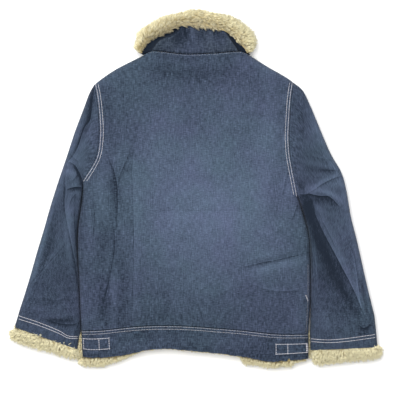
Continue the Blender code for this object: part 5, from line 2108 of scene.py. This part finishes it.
# each piece stands for its solid and says what cloth it was cut from, in metres
Cloth = namedtuple("Cloth", "piece node slot flat area held carries")
clothPieces = [
    Cloth(backPiece, "back", "denim", (0.53, 0.64), 0.30, "laid", [stitching]),
    Cloth(frontPieces[0], "front_left", "denim", (0.29, 0.63), 0.16, "laid", []),
    Cloth(frontPieces[1], "front_right", "denim", (0.29, 0.63), 0.16, "laid", []),
    Cloth(sleevePieces[0], "sleeve_left", "denim", (0.32, 0.60), 0.110, "folded", []),
    Cloth(sleevePieces[1], "sleeve_right", "denim", (0.34, 0.62), 0.140, "folded", []),
    Cloth(bandPieces[0], "waistband_back", "denim", (0.52, 0.06), None, "laid", []),
    Cloth(bandPieces[1], "waistband_front_left", "denim", (0.29, 0.06), None, "laid", []),
    Cloth(bandPieces[2], "waistband_front_right", "denim", (0.25, 0.06), None, "laid", []),
    Cloth(tabPieces[0], "tab_left", "denim", (0.064, 0.027), None, "laid", []),
    Cloth(tabPieces[1], "tab_right", "denim", (0.073, 0.026), None, "laid", []),
    Cloth(collarPiece, "collar_denim", "denim", (0.26, 0.06), None, "folded", []),
    Cloth(collarSherpa[0], "collar_sherpa", "sherpa", (0.36, 0.072), None, "folded", [collarSherpa[1]]),
    Cloth(hemSherpa[0], "hem_sherpa", "sherpa", (0.49, 0.053), None, "folded", [hemSherpa[1]]),
    Cloth(sideSherpa[0][0], None, "sherpa", (0.032, 0.060), None, "folded", [sideSherpa[0][1]]),
    Cloth(sideSherpa[1][0], None, "sherpa", (0.024, 0.058), None, "folded", [sideSherpa[1][1]]),
]
for sherpa, node in zip(cuffSherpa, ("cuff_sherpa_left", "cuff_sherpa_right")):
    clothPieces.append(Cloth(sherpa[0], node, "sherpa", (0.29, 0.058), None, "folded", [sherpa[1]]))
for cloth in clothPieces:
    if cloth.node:
        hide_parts(cloth.node)
    for piece in [cloth.piece] + cloth.carries:
        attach(piece, "root")
for index, piece in enumerate(buttonPieces):
    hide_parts(f"button_{index + 1}")
    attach(piece, "root")

studio = {
    "floor": (0.97, 0.97, 0.97, 1),
    "floorHalf": 12,
    "floorHeight": -0.0006,  # just under the jacket
    "ambient": 0.83,
    "keyPower": 125.5,
    "keySize": 2.6,
    "keyPlace": (-0.8, 1.1, 3.0),
    "lens": 200.0,
    "cameraPlace": (0.0275, -0.0429, 5.114),
}


def makeStudio():
    material, _, surface = startMaterial("paleFloor", 0.9, **{"Specular IOR Level": 0.1})
    surface["Base Color"].default_value = studio["floor"]
    half, height = studio["floorHalf"], studio["floorHeight"]
    corners = [(x * half, y * half, height) for x, y in ((-1, -1), (1, -1), (1, 1), (-1, 1))]
    mesh = newMesh("floor", corners, [(0, 1, 2, 3)], material=material, smooth=False)
    floor = addPiece("floor", mesh)
    world = bpy.data.worlds.new("softRoom")
    world.use_nodes = True
    background = world.node_tree.nodes["Background"]
    background.inputs["Color"].default_value = (1, 1, 1, 1)
    background.inputs["Strength"].default_value = studio["ambient"]
    bpy.context.scene.world = world
    key = bpy.data.lights.new("key", "AREA")
    key.size = studio["keySize"]
    key.energy = studio["keyPower"]
    keyLamp = addPiece("key", key)
    keyLamp.location = studio["keyPlace"]
    aim = Vector((0, 0, 0)) - keyLamp.location
    keyLamp.rotation_euler = aim.to_track_quat("-Z", "Y").to_euler()
    camera = bpy.data.cameras.new("camera")
    camera.lens = studio["lens"]
    camera.clip_end = 50
    cameraObject = addPiece("camera", camera)
    cameraObject.location = studio["cameraPlace"]
    bpy.context.scene.camera = cameraObject
    bpy.context.scene.view_settings.view_transform = "Standard"


makeStudio()
print("studio made")

bpy.context.view_layer.update()
